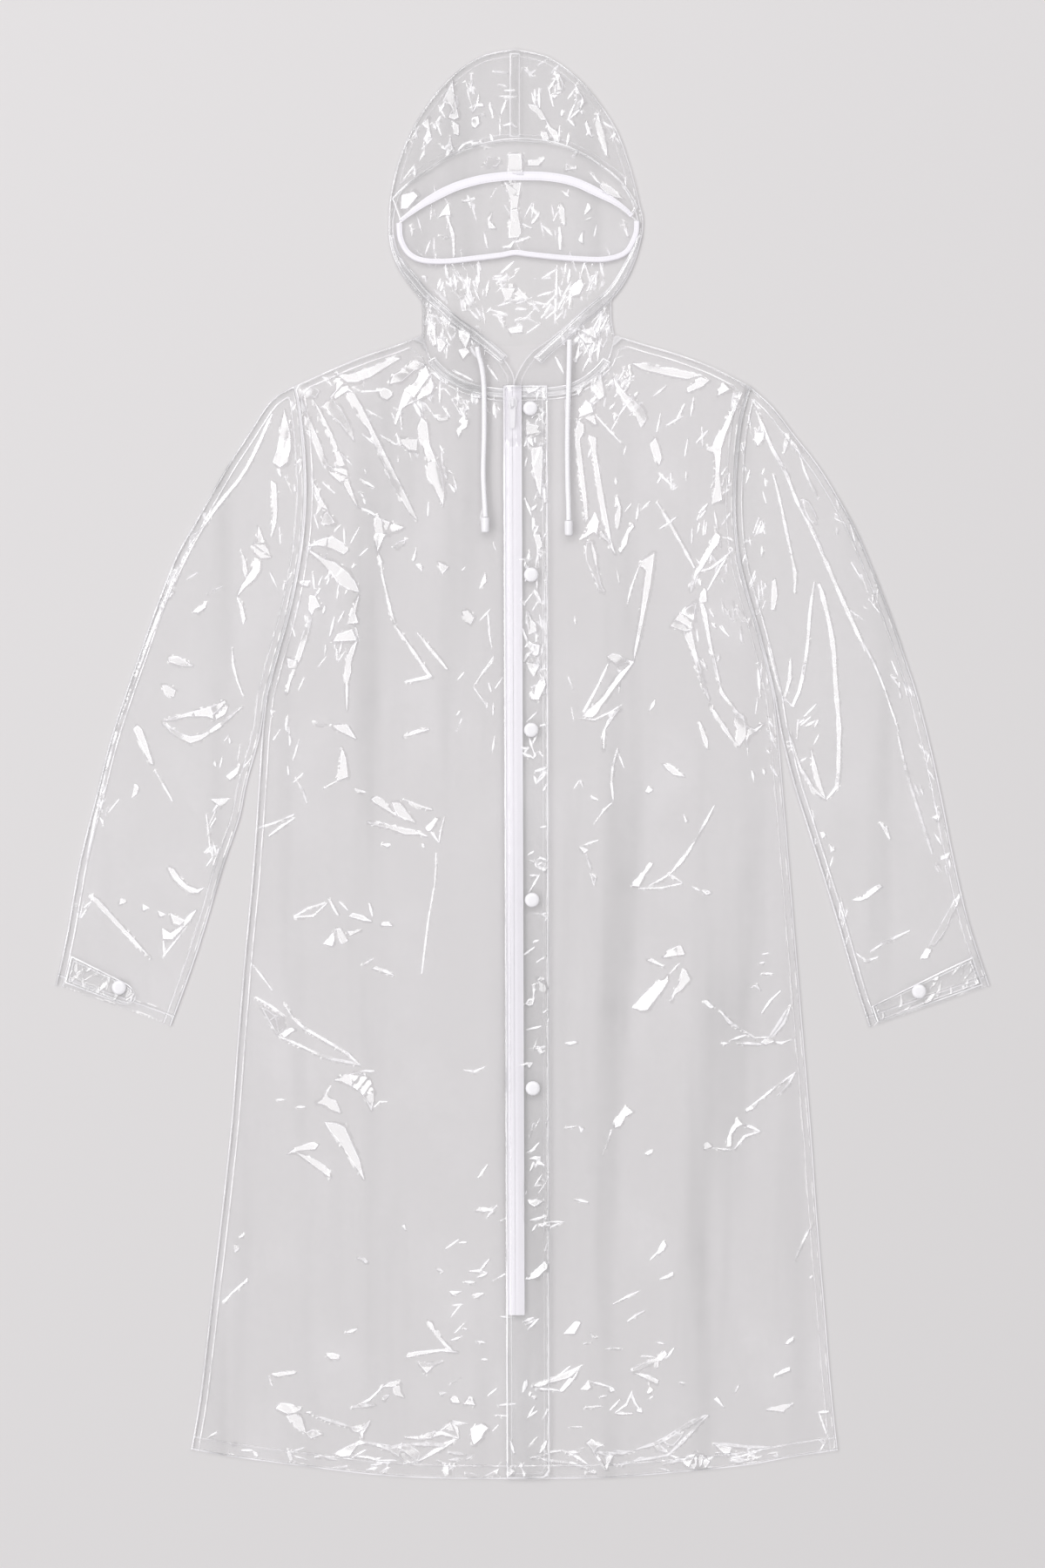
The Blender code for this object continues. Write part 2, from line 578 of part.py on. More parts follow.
def hood_pieces():
    """The band, peak, bindings, casings and tape that are sewn to the hood's front edge"""
    on_hood = moved_out(hood_layer, FILM)
    seam, edge, top = Path(PEAK_SEAM), Path(PEAK_EDGE), Path(BAND_TOP)
    band_foot = Path([(x, y + SEAM_GAP / 2) for x, y in seam.points])
    sheet("hood_band", between(top, band_foot, PEAK_STEPS, 3), on_hood, film)
    peak_head = Path([(x, y - SEAM_GAP / 2) for x, y in seam.points])
    sheet("peak", between(peak_head, edge, PEAK_STEPS, 5), on_hood, film)

    rows = []
    for t in steps(0, 1, PEAK_STEPS):
        (x, y), (nx, ny) = seam.at(t), seam.side(t)
        half = 2.0 + 2.3 * rise(min(t, 1 - t) * 5)
        rows.append([(x + nx * off, y + ny * off) for off in (half, -half)])
    sheet("peak_seam_binding", rows, moved_out(on_hood, BINDING_THICK), white_trim)

    outer, inner = [], []
    for t in steps(0, 1, PEAK_STEPS + 4):
        (x, y), (nx, ny) = edge.at(t), edge.side(t)
        low, high = on_hood(x, y)
        low, high = low - SEAM_GAP, high + SEAM_GAP

        def corner(off, z):
            return x + nx * off, y + ny * off, z
        outer.append([corner(EDGE_BINDING_IN, low - BINDING_WALL),
                      corner(-EDGE_BINDING_OUT, low - BINDING_WALL),
                      corner(-EDGE_BINDING_OUT, high + BINDING_WALL),
                      corner(EDGE_BINDING_IN, high + BINDING_WALL)])
        inner.append([corner(EDGE_BINDING_IN, low), corner(-EDGE_BINDING_BACK, low),
                      corner(-EDGE_BINDING_BACK, high), corner(EDGE_BINDING_IN, high)])
    wall("peak_edge_binding", outer, inner, white_trim)

    for side, out, inside in (("right", CASING_RIGHT_OUT, CASING_RIGHT_IN),
                              ("left", CASING_LEFT_OUT, CASING_LEFT_IN)):
        places = between(Path(out), Path(inside), 13, 2)
        sheet("casing_" + side, places, moved_out(hood_layer, CASING_THICK), film)

    places = [[(HOOD_SEAM_X + off, y) for off in (-CROWN_TAPE_HALF, 0, CROWN_TAPE_HALF)]
              for y in steps(694, 614, 6)]
    sheet("crown_tape", places, on_hood, film)


def neck_bands():
    """The strip of film over the seam between hood and fronts"""
    def heights(x, y):
        under = max(body_layer(x, y)[1], hood_layer(x, y)[1]) + SEAM_GAP
        return under, under + FILM
    for side, neck, start, end in (("right", neck_right, 0.22, 0.985), ("left", neck_left, 0.2, 0.985)):
        rows = []
        for t in steps(start, end, 10):
            (x, y), (nx, ny) = neck.at(t), neck.side(t)
            rows.append([(x + nx * off, y + ny * off) for off in (NECK_BAND_HALF, 0, -NECK_BAND_HALF)])
        sheet("neck_band_" + side, rows, heights, film)


def zip_tape(name, direction):
    """Half of the woven tape, from the zip's line outwards"""
    over = TAPE_UNDER + TAPE_THICK
    rows = []
    for y in (ZIP_TOP_Y, ZIP_END_Y):
        middle = zip_line.cross(y, 1)
        rows.append([(middle + direction * off, y) for off in (SEAM_GAP / 2, TAPE_HALF)])
    sheet(name, rows, lambda x, y: (TAPE_UNDER, over), white_trim)


def zip_coil():
    """The closed teeth, as one low bar down the middle of the tapes"""
    under = TAPE_UNDER + TAPE_THICK + SEAM_GAP
    rows = []
    for y in (COIL_TOP_Y, ZIP_END_Y + 4):
        middle = zip_line.cross(y, 1)
        rows.append([(middle - COIL_HALF, y), (middle + COIL_HALF, y)])
    sheet("zip_coil", rows, lambda x, y: (under, under + COIL_THICK), white_plastic)


def plate(name, outlines, thickness, finish):
    """A flat plate from closed outlines, holes included, as a mesh about its own middle plane"""
    flat = bpy.data.curves.new(name, "CURVE")
    flat.dimensions = "2D"
    flat.fill_mode = "BOTH"
    flat.extrude = thickness / 2 * MM
    for outline in outlines:
        spline = flat.splines.new("POLY")
        spline.points.add(len(outline) - 1)
        for point, (x, y) in zip(spline.points, outline):
            point.co = (x * MM, y * MM, 0.0, 1.0)
        spline.use_cyclic_u = True
    guide = bpy.data.objects.new(name + "_outline", flat)
    coat.objects.link(guide)
    bpy.context.view_layer.update()
    graph = bpy.context.evaluated_depsgraph_get()
    data = bpy.data.meshes.new_from_object(guide.evaluated_get(graph))
    bpy.data.objects.remove(guide)
    shape = bmesh.new()
    shape.from_mesh(data)
    bmesh.ops.remove_doubles(shape, verts=shape.verts, dist=1e-6)
    bmesh.ops.recalc_face_normals(shape, faces=shape.faces)
    shape.to_mesh(data)
    shape.free()
    data.materials.clear()
    return add(name, data, finish)


def zip_slider():
    """The slider with the bridge that carries its pull, and the pull laid down towards the hem"""
    under = TAPE_UNDER + TAPE_THICK + SEAM_GAP
    middle = zip_line.cross(SLIDER_Y, 1)
    half, long = SLIDER_WIDE / 2, SLIDER_LONG / 2
    nose = 2.6
    body = plate("zip_slider", [[(-half, -long + 2), (-nose, -long), (nose, -long), (half, -long + 2),
                                 (half, long - 3), (nose, long), (-nose, long), (-half, long - 3)]],
                 SLIDER_THICK, white_plastic)
    body.location = [value * MM for value in (middle, SLIDER_Y, under + SLIDER_THICK / 2)]
    top, sink, gap, rail = SLIDER_THICK, 0.6, 1.8, 1.1
    arch = [(4.4, -sink), (4.4, gap), (3.4, gap + rail), (-3.4, gap + rail), (-4.4, gap), (-4.4, -sink),
            (-2.8, -sink), (-2.8, gap - 0.6), (-2.2, gap - 0.1), (2.2, gap - 0.1), (2.8, gap - 0.6),
            (2.8, -sink)]
    bridge = plate("zip_bridge", [arch], 2.4, white_plastic)
    bridge.rotation_euler = (math.radians(90), 0, math.radians(90))
    bridge.location = [value * MM for value in (middle, SLIDER_Y, under + top)]
    coat.objects.unlink(bridge)
    tools.objects.link(bridge)
    bridge.hide_render = True
    bridge.display_type = "WIRE"
    join = body.modifiers.new("bridge", "BOOLEAN")
    join.operation = "UNION"
    join.solver = "EXACT"
    join.object = bridge

    bar, rail_out, window, tail = 0.7, 2.9, 6.2, 25.0
    tab = plate("zip_pull", [
        [(-rail_out, bar), (-rail_out, -window - 1), (-2.4, -tail + 2), (-1.4, -tail), (1.4, -tail),
         (2.4, -tail + 2), (rail_out, -window - 1), (rail_out, bar)],
        [(-1.6, -bar), (1.6, -bar), (1.6, -window), (-1.6, -window)]], 1.1, white_plastic)
    tab.location = [value * MM for value in (middle, SLIDER_Y, under + top + SEAM_GAP + 0.55)]


def flap_layer(x, y):
    """Heights of the storm flap: over the zip and its slider, then down onto the left front"""
    base = body_layer(x, y)[1] + SEAM_GAP
    over_zip = rise((y - ZIP_END_Y + 38) / 34)
    offset = x - zip_line.cross(y, 1)
    raised = lookup(FLAP_OVER_ZIP, offset)
    near_slider = rise((y - SLIDER_Y + 44) / 14) * rise((9 - abs(offset)) / 5)
    raised += FLAP_OVER_SLIDER * near_slider
    under = max(base, base + (raised - base) * over_zip)
    return under, under + FILM


def storm_flap():
    """The strip that covers the zip, sewn at one edge and held down by the snaps"""
    down = sorted(steps(370, 300, 8)[:-1] + steps(300, ZIP_END_Y, 7)[:-1]
                  + [ZIP_END_Y - off for off in (0, 14, 28, 60)] + [-640, -682, -685.3, -696.4],
                  reverse=True)
    root, free = Path(FLAP_ROOT), Path(FLAP_FREE)
    places = []
    for y in down:
        middle = zip_line.cross(y, 1)
        near, far = root.cross(y, 1), free.cross(y, 1)
        line = [near] + [middle + off for off in (-5.5, -3.0, 3.0, 5.5, 9.6, 17.0)] + [far]
        places.append([(x, y) for x in line])
    sheet("storm_flap", places, flap_layer, film)


def turned(name, profile, sides, finish):
    """A turned piece from its (radius, height) profile, top to bottom"""
    data = bpy.data.meshes.new(name)
    points = [(radius * MM, 0.0, height * MM) for radius, height in profile]
    data.from_pydata(points, [(i, i + 1) for i in range(len(points) - 1)], [])
    piece = add(name, data, finish)
    screw = piece.modifiers.new("turn", "SCREW")
    screw.steps = screw.render_steps = sides
    screw.use_merge_vertices = True
    screw.merge_threshold = 0.00001
    screw.use_normal_calculate = False
    return piece


def snap(name, spot, level):
    """A round snap cap: a low dome with a rolled rim"""
    profile = [(0, 2.6), (4.2, 2.4), (6.2, 1.8), (SNAP_RADIUS, 0.7), (6.8, 0), (0, 0)]
    piece = turned(name, profile, SNAP_SIDES, white_plastic)
    piece.location = [value * MM for value in (*spot, level + SEAM_GAP)]


def drawcord(side, route):
    """A round cord laid from the slit in the casing, and the stopper at its free end"""
    path = Path(route)
    line = bpy.data.curves.new("drawcord_" + side, "CURVE")
    line.dimensions = "3D"
    line.bevel_depth = CORD_RADIUS * MM
    line.bevel_resolution = 2
    line.use_fill_caps = True
    spline = line.splines.new("POLY")
    spline.points.add(CORD_POINTS - 1)
    for point, t in zip(spline.points, steps(0, 1, CORD_POINTS - 1)):
        point.co = (*[value * MM for value in path.at(t)], 1.0)
    add("drawcord_" + side, line, white_cord)
    x, y, z = route[-1]
    profile = [(0, STOPPER_LONG), (3.2, STOPPER_LONG), (3.9, STOPPER_LONG - 0.9),
               (STOPPER_RADIUS, 3.4), (3.9, 0.7), (3.3, 0), (0, 0)]
    stopper = turned("stopper_" + side, profile, 12, white_plastic)
    stopper.rotation_euler = (math.radians(90), 0, 0)
    stopper.location = [value * MM for value in (x, y - SEAM_GAP, z)]


for old in list(bpy.data.objects):
    bpy.data.objects.remove(old)
coat = bpy.data.collections.new("clear_hooded_raincoat")
tools = bpy.data.collections.new("tools")
bpy.context.scene.collection.children.link(coat)
bpy.context.scene.collection.children.link(tools)

film = material("clear_film", (0.90, 0.91, 0.93), 0.08, 0.35)
white_trim = material("white_trim", (0.88, 0.87, 0.90), 0.35)
white_plastic = material("white_plastic", (0.90, 0.89, 0.92), 0.25)
white_cord = material("white_cord", (0.90, 0.90, 0.92), 0.70)

back_panel()
front_panel("front_right", hem_right, top_right, shoulder_right, side_right, Path(SIDE_RIGHT), -1)
front_panel("front_left", hem_left, top_left, shoulder_left, side_left, Path(SIDE_LEFT), 1)

for side, armhole, out, inside, folds, direction, cuff_name, cuff_size, snap_spot in (
        ("right", armhole_right, SLEEVE_RIGHT_OUT, SLEEVE_RIGHT_IN, FOLDS_SLEEVE_RIGHT, -1,
         "cuff_tab_right", CUFF_TAB_SIZE, CUFF_SNAP_RIGHT),
        ("left", armhole_left, SLEEVE_LEFT_OUT, SLEEVE_LEFT_IN, FOLDS_SLEEVE_LEFT, 1,
         "cuff_band_left", CUFF_BAND_SIZE, CUFF_SNAP_LEFT)):
    place, length = sleeve_place(armhole, out, inside, direction)
    heights = sleeve_layer(place, length, folds)
    sleeve("sleeve_" + side, place, heights)
    cuff_piece(cuff_name, place, heights, length, cuff_size, side == "right")
    level = max(heights(u, 1 - up / length)[1] for u in steps(0.36, 0.64, 4) for up in (8, 18, 30))
    snap("cuff_snap_" + side, snap_spot, level + SEAM_GAP + FILM)

hood_side("hood_right", HOOD_RIGHT, neck_right, -1)
hood_side("hood_left", HOOD_LEFT, neck_left, 1)
hood_pieces()
neck_bands()

zip_tape("zip_tape_right", -1)
zip_tape("zip_tape_left", 1)
zip_coil()
zip_slider()
storm_flap()
for number, spot in enumerate(FRONT_SNAPS, 1):
    level = max(flap_layer(spot[0] + off, spot[1])[1] for off in (-6.8, -3, 0, 6.8))
    snap("front_snap_%d" % number, spot, level)

drawcord("right", CORD_RIGHT)
drawcord("left", CORD_LEFT)
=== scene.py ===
"""A clear hooded raincoat laid face up on a pale table, dressed over its CAD frame.

X runs to the wearer's left sleeve, Y to the hood and Z up from the table. Sizes are in
millimetres; right and left are the wearer's, so the right side has negative X.
"""
import math

import bpy
import numpy as np
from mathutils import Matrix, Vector
from mathutils.geometry import delaunay_2d_cdt


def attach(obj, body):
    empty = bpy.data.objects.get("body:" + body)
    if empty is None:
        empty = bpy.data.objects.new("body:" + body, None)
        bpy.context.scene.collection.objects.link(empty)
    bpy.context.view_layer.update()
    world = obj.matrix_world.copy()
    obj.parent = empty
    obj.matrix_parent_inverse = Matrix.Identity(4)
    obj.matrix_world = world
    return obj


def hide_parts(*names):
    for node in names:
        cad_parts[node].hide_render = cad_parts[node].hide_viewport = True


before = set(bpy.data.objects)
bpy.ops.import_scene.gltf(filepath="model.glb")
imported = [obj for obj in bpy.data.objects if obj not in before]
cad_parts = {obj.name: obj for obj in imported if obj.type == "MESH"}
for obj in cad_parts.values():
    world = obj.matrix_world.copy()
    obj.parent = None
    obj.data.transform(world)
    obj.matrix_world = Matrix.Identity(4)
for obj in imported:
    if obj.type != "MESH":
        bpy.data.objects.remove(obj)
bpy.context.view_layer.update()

# ---------------------------------------------------------------------------------------
# Table, light and camera. The coat lies on a smooth pale table under a ring of large soft
# boxes, the strongest at its upper left, and is seen from straight above.
# ---------------------------------------------------------------------------------------
MM = 0.001
VIEW_CENTRE = (0.4, -19.1)
VIEW_TALL = 1530.0
LENS, SENSOR = 200.0, 36.0
TABLE_COLOUR = (0.688, 0.673, 0.678)
TABLE_HALF, TABLE_DROP = 15.0, 0.0002       # metres: half its size, and how far it lies under Z = 0
DIM_ACROSS, DIM_UP = 0.35, -0.6             # painted shade: the table is painted darker to the lower right, where the lamps' light falls off
DIM_FROM, DIM_TO, DIMMEST = -0.9, 0.95, 0.93
ROOM_COLOUR, ROOM_BRIGHT = (1.0, 0.985, 0.99), 0.40
RING_DISTANCE, RING_TILT = 12.0, 42.0       # metres, and degrees from straight up
RING = (
    # compass angle, width and radial depth in metres, brightness
    (62, 5.2, 5.0, 2.25), (102, 5.2, 5.0, 2.5), (143, 5.4, 5.0, 3.5), (184, 5.2, 5.0, 2.4),
    (224, 5.2, 5.0, 2.1), (300, 3.2, 2.8, 1.6))
CEILING_SIZE, CEILING_HEIGHT, CEILING_BRIGHT = (11.2, 13.2), 11.2, 0.54

here = bpy.context.scene
here.view_settings.view_transform = "Standard"


class Number:
    """A number that changes over a surface; sums and products of it add Math nodes"""

    def __init__(self, finish, socket):
        self.finish, self.socket = finish, socket

    def math(self, operation, *others):
        sockets = dict(enumerate((self, *others)))
        return self.finish.number("ShaderNodeMath", {"operation": operation}, sockets)

    def __add__(self, other):
        return self.math("ADD", other)

    def __sub__(self, other):
        return self.math("SUBTRACT", other)

    def __rsub__(self, other):
        return self.math("MULTIPLY_ADD", -1.0, other)

    def __mul__(self, other):
        return self.math("MULTIPLY", other)

    def __pow__(self, other):
        return self.math("POWER", other)

    __radd__, __rmul__ = __add__, __mul__

    def between(self, start, end):
        """0 at start and 1 at end, with a soft change"""
        return self.finish.number(
            "ShaderNodeMapRange", {"interpolation_type": "SMOOTHSTEP"},
            {"Value": self, "From Min": start, "From Max": end}, "Result")

    def line(self, place, half):
        """1 where the number is at place, 0 further than half from it"""
        return 1 - self.math("SUBTRACT", place).math("ABSOLUTE").between(half * 0.4, half)


class Finish:
    """A material whose nodes are added one at a time"""

    def __init__(self, name):
        self.material = bpy.data.materials.new(name)
        self.material.use_nodes = True
        self.tree = self.material.node_tree
        self.tree.nodes.clear()
        self.place = self.node("ShaderNodeTexCoord", {}, {}).outputs["Object"]

    def node(self, kind, settings, sockets):
        made = self.tree.nodes.new(kind)
        for name, value in settings.items():
            setattr(made, name, value)
        for name, value in sockets.items():
            if isinstance(value, Number):
                value = value.socket
            if isinstance(value, bpy.types.NodeSocket):
                self.tree.links.new(value, made.inputs[name])
            else:
                made.inputs[name].default_value = value
        return made

    def number(self, kind, settings, sockets, output=0):
        return Number(self, self.node(kind, settings, sockets).outputs[output])

    def mark(self, name):
        """A number that the mesh carries at each point"""
        return self.number("ShaderNodeAttribute", {"attribute_name": name}, {}, "Fac")

    def stretched(self, stretch):
        """Places on the piece, with each axis stretched by a factor"""
        return self.node("ShaderNodeMapping", {}, {"Vector": self.place, "Scale": stretch}).outputs[0]

    def noise(self, scale, detail=2.0, stretch=(1, 1, 1)):
        """Noise from 0 to 1 with so many patches a metre"""
        return self.number("ShaderNodeTexNoise", {}, {
            "Vector": self.stretched(stretch), "Scale": scale, "Detail": detail}, "Fac")

    def blend(self, share, first, second):
        """A colour between two colours, by a number"""
        return self.node("ShaderNodeMix", {"data_type": "RGBA"}, {
            0: share, 6: (*first, 1), 7: (*second, 1)}).outputs[2]

    def bump(self, height, depth):
        """A normal from a height of 0 to 1, so many millimetres deep"""
        return self.node("ShaderNodeBump", {}, {
            "Height": height, "Distance": depth * MM, "Strength": 1.0}).outputs[0]

    def ray(self, kind):
        """1 for rays of the kind, else 0"""
        return self.number("ShaderNodeLightPath", {}, {}, kind)

    def clear(self, tint=(1, 1, 1)):
        return self.node("ShaderNodeBsdfTransparent", {}, {"Color": (*tint, 1)}).outputs[0]

    def solid(self, colour, roughness, normal=None, metallic=0.0, coat=0.0):
        if not isinstance(colour, bpy.types.NodeSocket):
            colour = (*colour, 1)
        sockets = {"Base Color": colour, "Roughness": roughness, "Metallic": metallic,
                   "Coat Weight": coat}
        if normal is not None:
            sockets["Normal"] = normal
        return self.node("ShaderNodeBsdfPrincipled", {}, sockets).outputs[0]

    def mix(self, share, first, second):
        return self.node("ShaderNodeMixShader", {}, {0: share, 1: first, 2: second}).outputs[0]

    def show(self, shader):
        self.node("ShaderNodeOutputMaterial", {}, {"Surface": shader})
        return self.material


table = bpy.data.meshes.new("table")
table.from_pydata([(x * TABLE_HALF, y * TABLE_HALF, 0) for x, y in ((-1, -1), (1, -1), (1, 1), (-1, 1))],
                  [], [(0, 1, 2, 3)])
tabletop = Finish("smooth pale table")
cloudy = tabletop.noise(1.6, 3.0)
spot = tabletop.node("ShaderNodeSeparateXYZ", {}, {"Vector": tabletop.place})
across, up = Number(tabletop, spot.outputs["X"]), Number(tabletop, spot.outputs["Y"])
# painted shade: the table's colour darkens to the lower right, standing in for the lamps' light falling off
# there; the cloud is a random tone of the table
painted_falloff_and_cloud = (up * DIM_UP + across * DIM_ACROSS).between(DIM_FROM, DIM_TO) + cloudy * 0.1
table.materials.append(tabletop.show(tabletop.solid(
    tabletop.blend(painted_falloff_and_cloud, TABLE_COLOUR, [value * DIMMEST for value in TABLE_COLOUR]), 0.75)))
table = bpy.data.objects.new("table", table)
here.collection.objects.link(table)
table.location.z = -TABLE_DROP

room = bpy.data.worlds.new("studio")
room.use_nodes = True
light = room.node_tree.nodes["Background"].inputs
light["Color"].default_value, light["Strength"].default_value = (*ROOM_COLOUR, 1), ROOM_BRIGHT
here.world = room


def soft_box(name, wide, deep, radiance, place, turned=(0, 0, 0)):
    lamp = bpy.data.lights.new(name, "AREA")
    lamp.shape = "RECTANGLE"
    lamp.size, lamp.size_y = wide, deep
    lamp.energy = radiance * math.pi * wide * deep
    box = bpy.data.objects.new(name, lamp)
    box.location, box.rotation_euler = place, turned
    here.collection.objects.link(box)


tilt = math.radians(RING_TILT)
reach = RING_DISTANCE * math.sin(tilt)
for angle, wide, deep, radiance in RING:
    way = math.radians(angle)
    soft_box("soft box %d" % angle, wide, deep, radiance,
             (reach * math.cos(way), reach * math.sin(way), RING_DISTANCE * math.cos(tilt)),
             (tilt, 0, math.radians(angle + 90)))
soft_box("ceiling box", *CEILING_SIZE, CEILING_BRIGHT, (0, 0, CEILING_HEIGHT))

eye = bpy.data.cameras.new("camera")
eye.lens, eye.sensor_width = LENS, SENSOR
eye.clip_end = 50
camera = bpy.data.objects.new("camera", eye)
camera.location = (VIEW_CENTRE[0] * MM, VIEW_CENTRE[1] * MM, VIEW_TALL * LENS / SENSOR * MM)
here.collection.objects.link(camera)
here.camera = camera

# ---------------------------------------------------------------------------------------
# Drawcords: 5 mm braided white cord, each out of a slit in its casing, down over the neck
# seam and onto the front, with a moulded stopper at its free end.
# ---------------------------------------------------------------------------------------
CORD_RADIUS, CORD_POINTS = 2.5, 40
CORD_RIGHT = ((-43.8, 407, 8.7), (-42.6, 400, 8.5), (-39.6, 389, 7.6), (-37.6, 374, 6.9),
              (-37.0, 359, 6.8), (-36.8, 338, 6.8), (-37.0, 317, 6.8), (-37.6, 299, 6.8),
              (-37.8, 282, 6.8), (-37.0, 264, 7.1), (-36.2, 250, 7.9), (-35.8, 241, 8.5))
CORD_LEFT = ((46.3, 414, 8.7), (46.2, 406, 8.5), (46.0, 394, 7.6), (45.6, 378, 6.9),
             (44.9, 353, 6.8), (44.4, 330, 6.8), (44.2, 306, 6.8), (44.4, 288, 6.8),
             (44.7, 270, 6.8), (45.2, 256, 7.2), (45.4, 246, 8.0), (45.5, 238, 8.5))


class Line:
    """A smooth line through points, read by its share of the length; stretches meet at corners"""

    FINE = 8

    def __init__(self, *stretches):
        points = []
        for stretch in stretches:
            knots = np.array(stretch, float)
            padded = np.vstack([knots[:1], knots, knots[-1:]])
            for a, b, c, d in zip(padded, padded[1:], padded[2:], padded[3:]):
                for t in np.arange(self.FINE) / self.FINE:
                    points.append(0.5 * (2 * b + (c - a) * t + (2 * a - 5 * b + 4 * c - d) * t * t
                                         + (3 * b - a - 3 * c + d) * t ** 3))
        points.append(knots[-1])
        self.points = np.array(points)
        hops = np.linalg.norm(np.diff(self.points, axis=0), axis=1)
        self.reach = np.concatenate([[0], np.cumsum(hops)])
        self.length = self.reach[-1]

    def at(self, share):
        want = np.clip(share, 0, 1) * self.length
        return np.stack([np.interp(want, self.reach, column) for column in self.points.T], -1)

    def side(self, share):
        """Unit vectors to the left of the line's direction, seen from above"""
        share = np.asarray(share, float)
        way = self.at(share + 0.01)[..., :2] - self.at(share - 0.01)[..., :2]
        way /= np.linalg.norm(way, axis=-1, keepdims=True)
        return np.stack([-way[..., 1], way[..., 0]], -1)

    def cross(self, value, axis):
        """The other coordinate where the line passes value on the axis (0 for x, 1 for y)"""
        order = np.argsort(self.points[:, axis], kind="stable")
        return np.interp(value, self.points[order, axis], self.points[order, 1 - axis])

    def distance(self, x, y):
        """Distance of places from the line, seen from above"""
        nearest = np.full(np.shape(x), np.inf)
        for (x0, y0), (x1, y1) in zip(self.points[:-1, :2], self.points[1:, :2]):
            dx, dy = x1 - x0, y1 - y0
            share = np.clip(((x - x0) * dx + (y - y0) * dy) / (dx * dx + dy * dy), 0, 1)
            nearest = np.minimum(nearest, np.hypot(x - x0 - share * dx, y - y0 - share * dy))
        return nearest


def link(name, data, finish):
    data.materials.append(finish)
    piece = bpy.data.objects.new(name, data)
    here.collection.objects.link(piece)
    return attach(piece, "root") or piece


braid = Finish("white braided cord")
strands, crossing = (
    braid.number("ShaderNodeTexWave", {"bands_direction": "DIAGONAL"}, {
        "Vector": braid.stretched((way, 1, 1)), "Scale": 190.0, "Distortion": 1.2, "Detail": 1.0,
        "Detail Scale": 3.0}, "Fac")
    for way in (1, -1))
plait = strands.math("MAXIMUM", crossing)
braided_cord = braid.show(braid.solid(braid.blend(plait, (0.86, 0.85, 0.88), (0.95, 0.94, 0.97)),
                                      0.6 - plait * 0.15, braid.bump(plait, 0.25)))

moulded = Finish("white moulded plastic")
speckle = moulded.noise(900, 2.0)
cast = moulded.noise(60, 2.0)
moulded_plastic = moulded.show(moulded.solid(
    moulded.blend(cast, (0.83, 0.82, 0.85), (0.88, 0.87, 0.90)), 0.22 + speckle * 0.12,
    moulded.bump(speckle, 0.03), coat=0.3))
for side, route in (("right", CORD_RIGHT), ("left", CORD_LEFT)):
    path = Line(route)
    curve = bpy.data.curves.new("cord_" + side, "CURVE")
    curve.dimensions = "3D"
    curve.bevel_depth = CORD_RADIUS * MM
    curve.bevel_resolution = 4
    curve.use_fill_caps = True
    spline = curve.splines.new("POLY")
    spline.points.add(CORD_POINTS - 1)
    spots = path.at(np.linspace(0, 1, CORD_POINTS)) * MM
    spline.points.foreach_set("co", np.hstack([spots, np.ones((CORD_POINTS, 1))]).ravel())
    spline.use_smooth = True
    cord = link("cord_" + side, curve, braided_cord)
    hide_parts("drawcord_" + side)
    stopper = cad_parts["stopper_" + side]
    stopper.data.materials.clear()
    stopper.data.materials.append(moulded_plastic)

# ---------------------------------------------------------------------------------------
# Back panel: one piece of clear film from hem to shoulders, flat on the table. The whole
# coat is film of 0.18 mm, welded along its seams in a flat 8 mm edge.
# ---------------------------------------------------------------------------------------
BACK_LEVEL = 0.9
TOP_LEVEL = 2.3          # the upper layer where it is sewn down
AIR, AIR_RUN = 1.6, 55.0         # air under the upper layer, and how far from a seam it is full
GRAIN = 6.0              # spacing of the points over a piece of film
FINE_GRAIN, FINE_REACH = 2.1, 5.5        # spacing near a facet, and how far that goes
RIM_ROWS = (0.6, 1.8, 3.0, 6.4, 7.6, 8.8, 11.4, 12.6, 13.8)     # points along a piece's edge
FAR, NO_RIDGE = 60.0, 9.0        # marks far from an edge, and away from any facet's outline
# film haze colours: pale for its cloud and the painted highlights, grey for its streaks and the painted
# shade
PALE_HAZE_AND_PAINTED_HIGHLIGHT, GREY_STREAKS_AND_PAINTED_SHADE = (0.94, 0.93, 0.96), (0.30, 0.30, 0.31)
HAZE_ROUGH, GLOSS_ROUGH = 0.55, 0.05
SHADED = (0.3, 0.3, 0.3)
SIDE_RIGHT = ((-323, -668), (-314, -614), (-304, -529), (-294, -444), (-284, -351), (-278, -274),
              (-271, -189), (-263, -104), (-257, -19), (-254, 28), (-250, 66))
SIDE_LEFT = ((308, -669), (302, -614), (295, -529), (288, -444), (282, -359), (275, -274),
             (268, -189), (261, -104), (254, -19), (250, 28), (246, 66))
ARMHOLE_RIGHT = ((-250, 66), (-240, 104), (-227, 151), (-217, 202), (-212, 253), (-213, 304),
                 (-218, 351), (-222, 369))
ARMHOLE_LEFT = ((246, 66), (238, 100), (229, 134), (219, 168), (211, 202), (207, 244), (208, 287),
                (212, 329), (219, 360), (222, 369))
HEM_RIGHT = ((-323, -668), (-279, -676), (-210, -685), (-144, -693), (-79, -696.5), (-6, -697))
HEM_LEFT = ((308, -669), (262, -676), (217, -684), (148, -691), (80, -696), (-6, -697))
SHOULDER_RIGHT = ((-222, 369), (-187, 385), (-153, 399), (-123, 409), (-97, 419))
SHOULDER_LEFT = ((222, 369), (187, 387), (153, 400), (119, 410), (90, 419))
NECK_RIGHT = ((-97, 419), (-89, 396), (-74, 380), (-52, 368), (-28, 363), (-9.5, 362))
NECK_LEFT = ((90, 419), (84, 397), (72, 382), (54, 370), (33, 364), (-9.5, 362))
BACK_NECK = ((90, 419), (-7.2, 408)), ((-7.2, 408), (-97, 419))
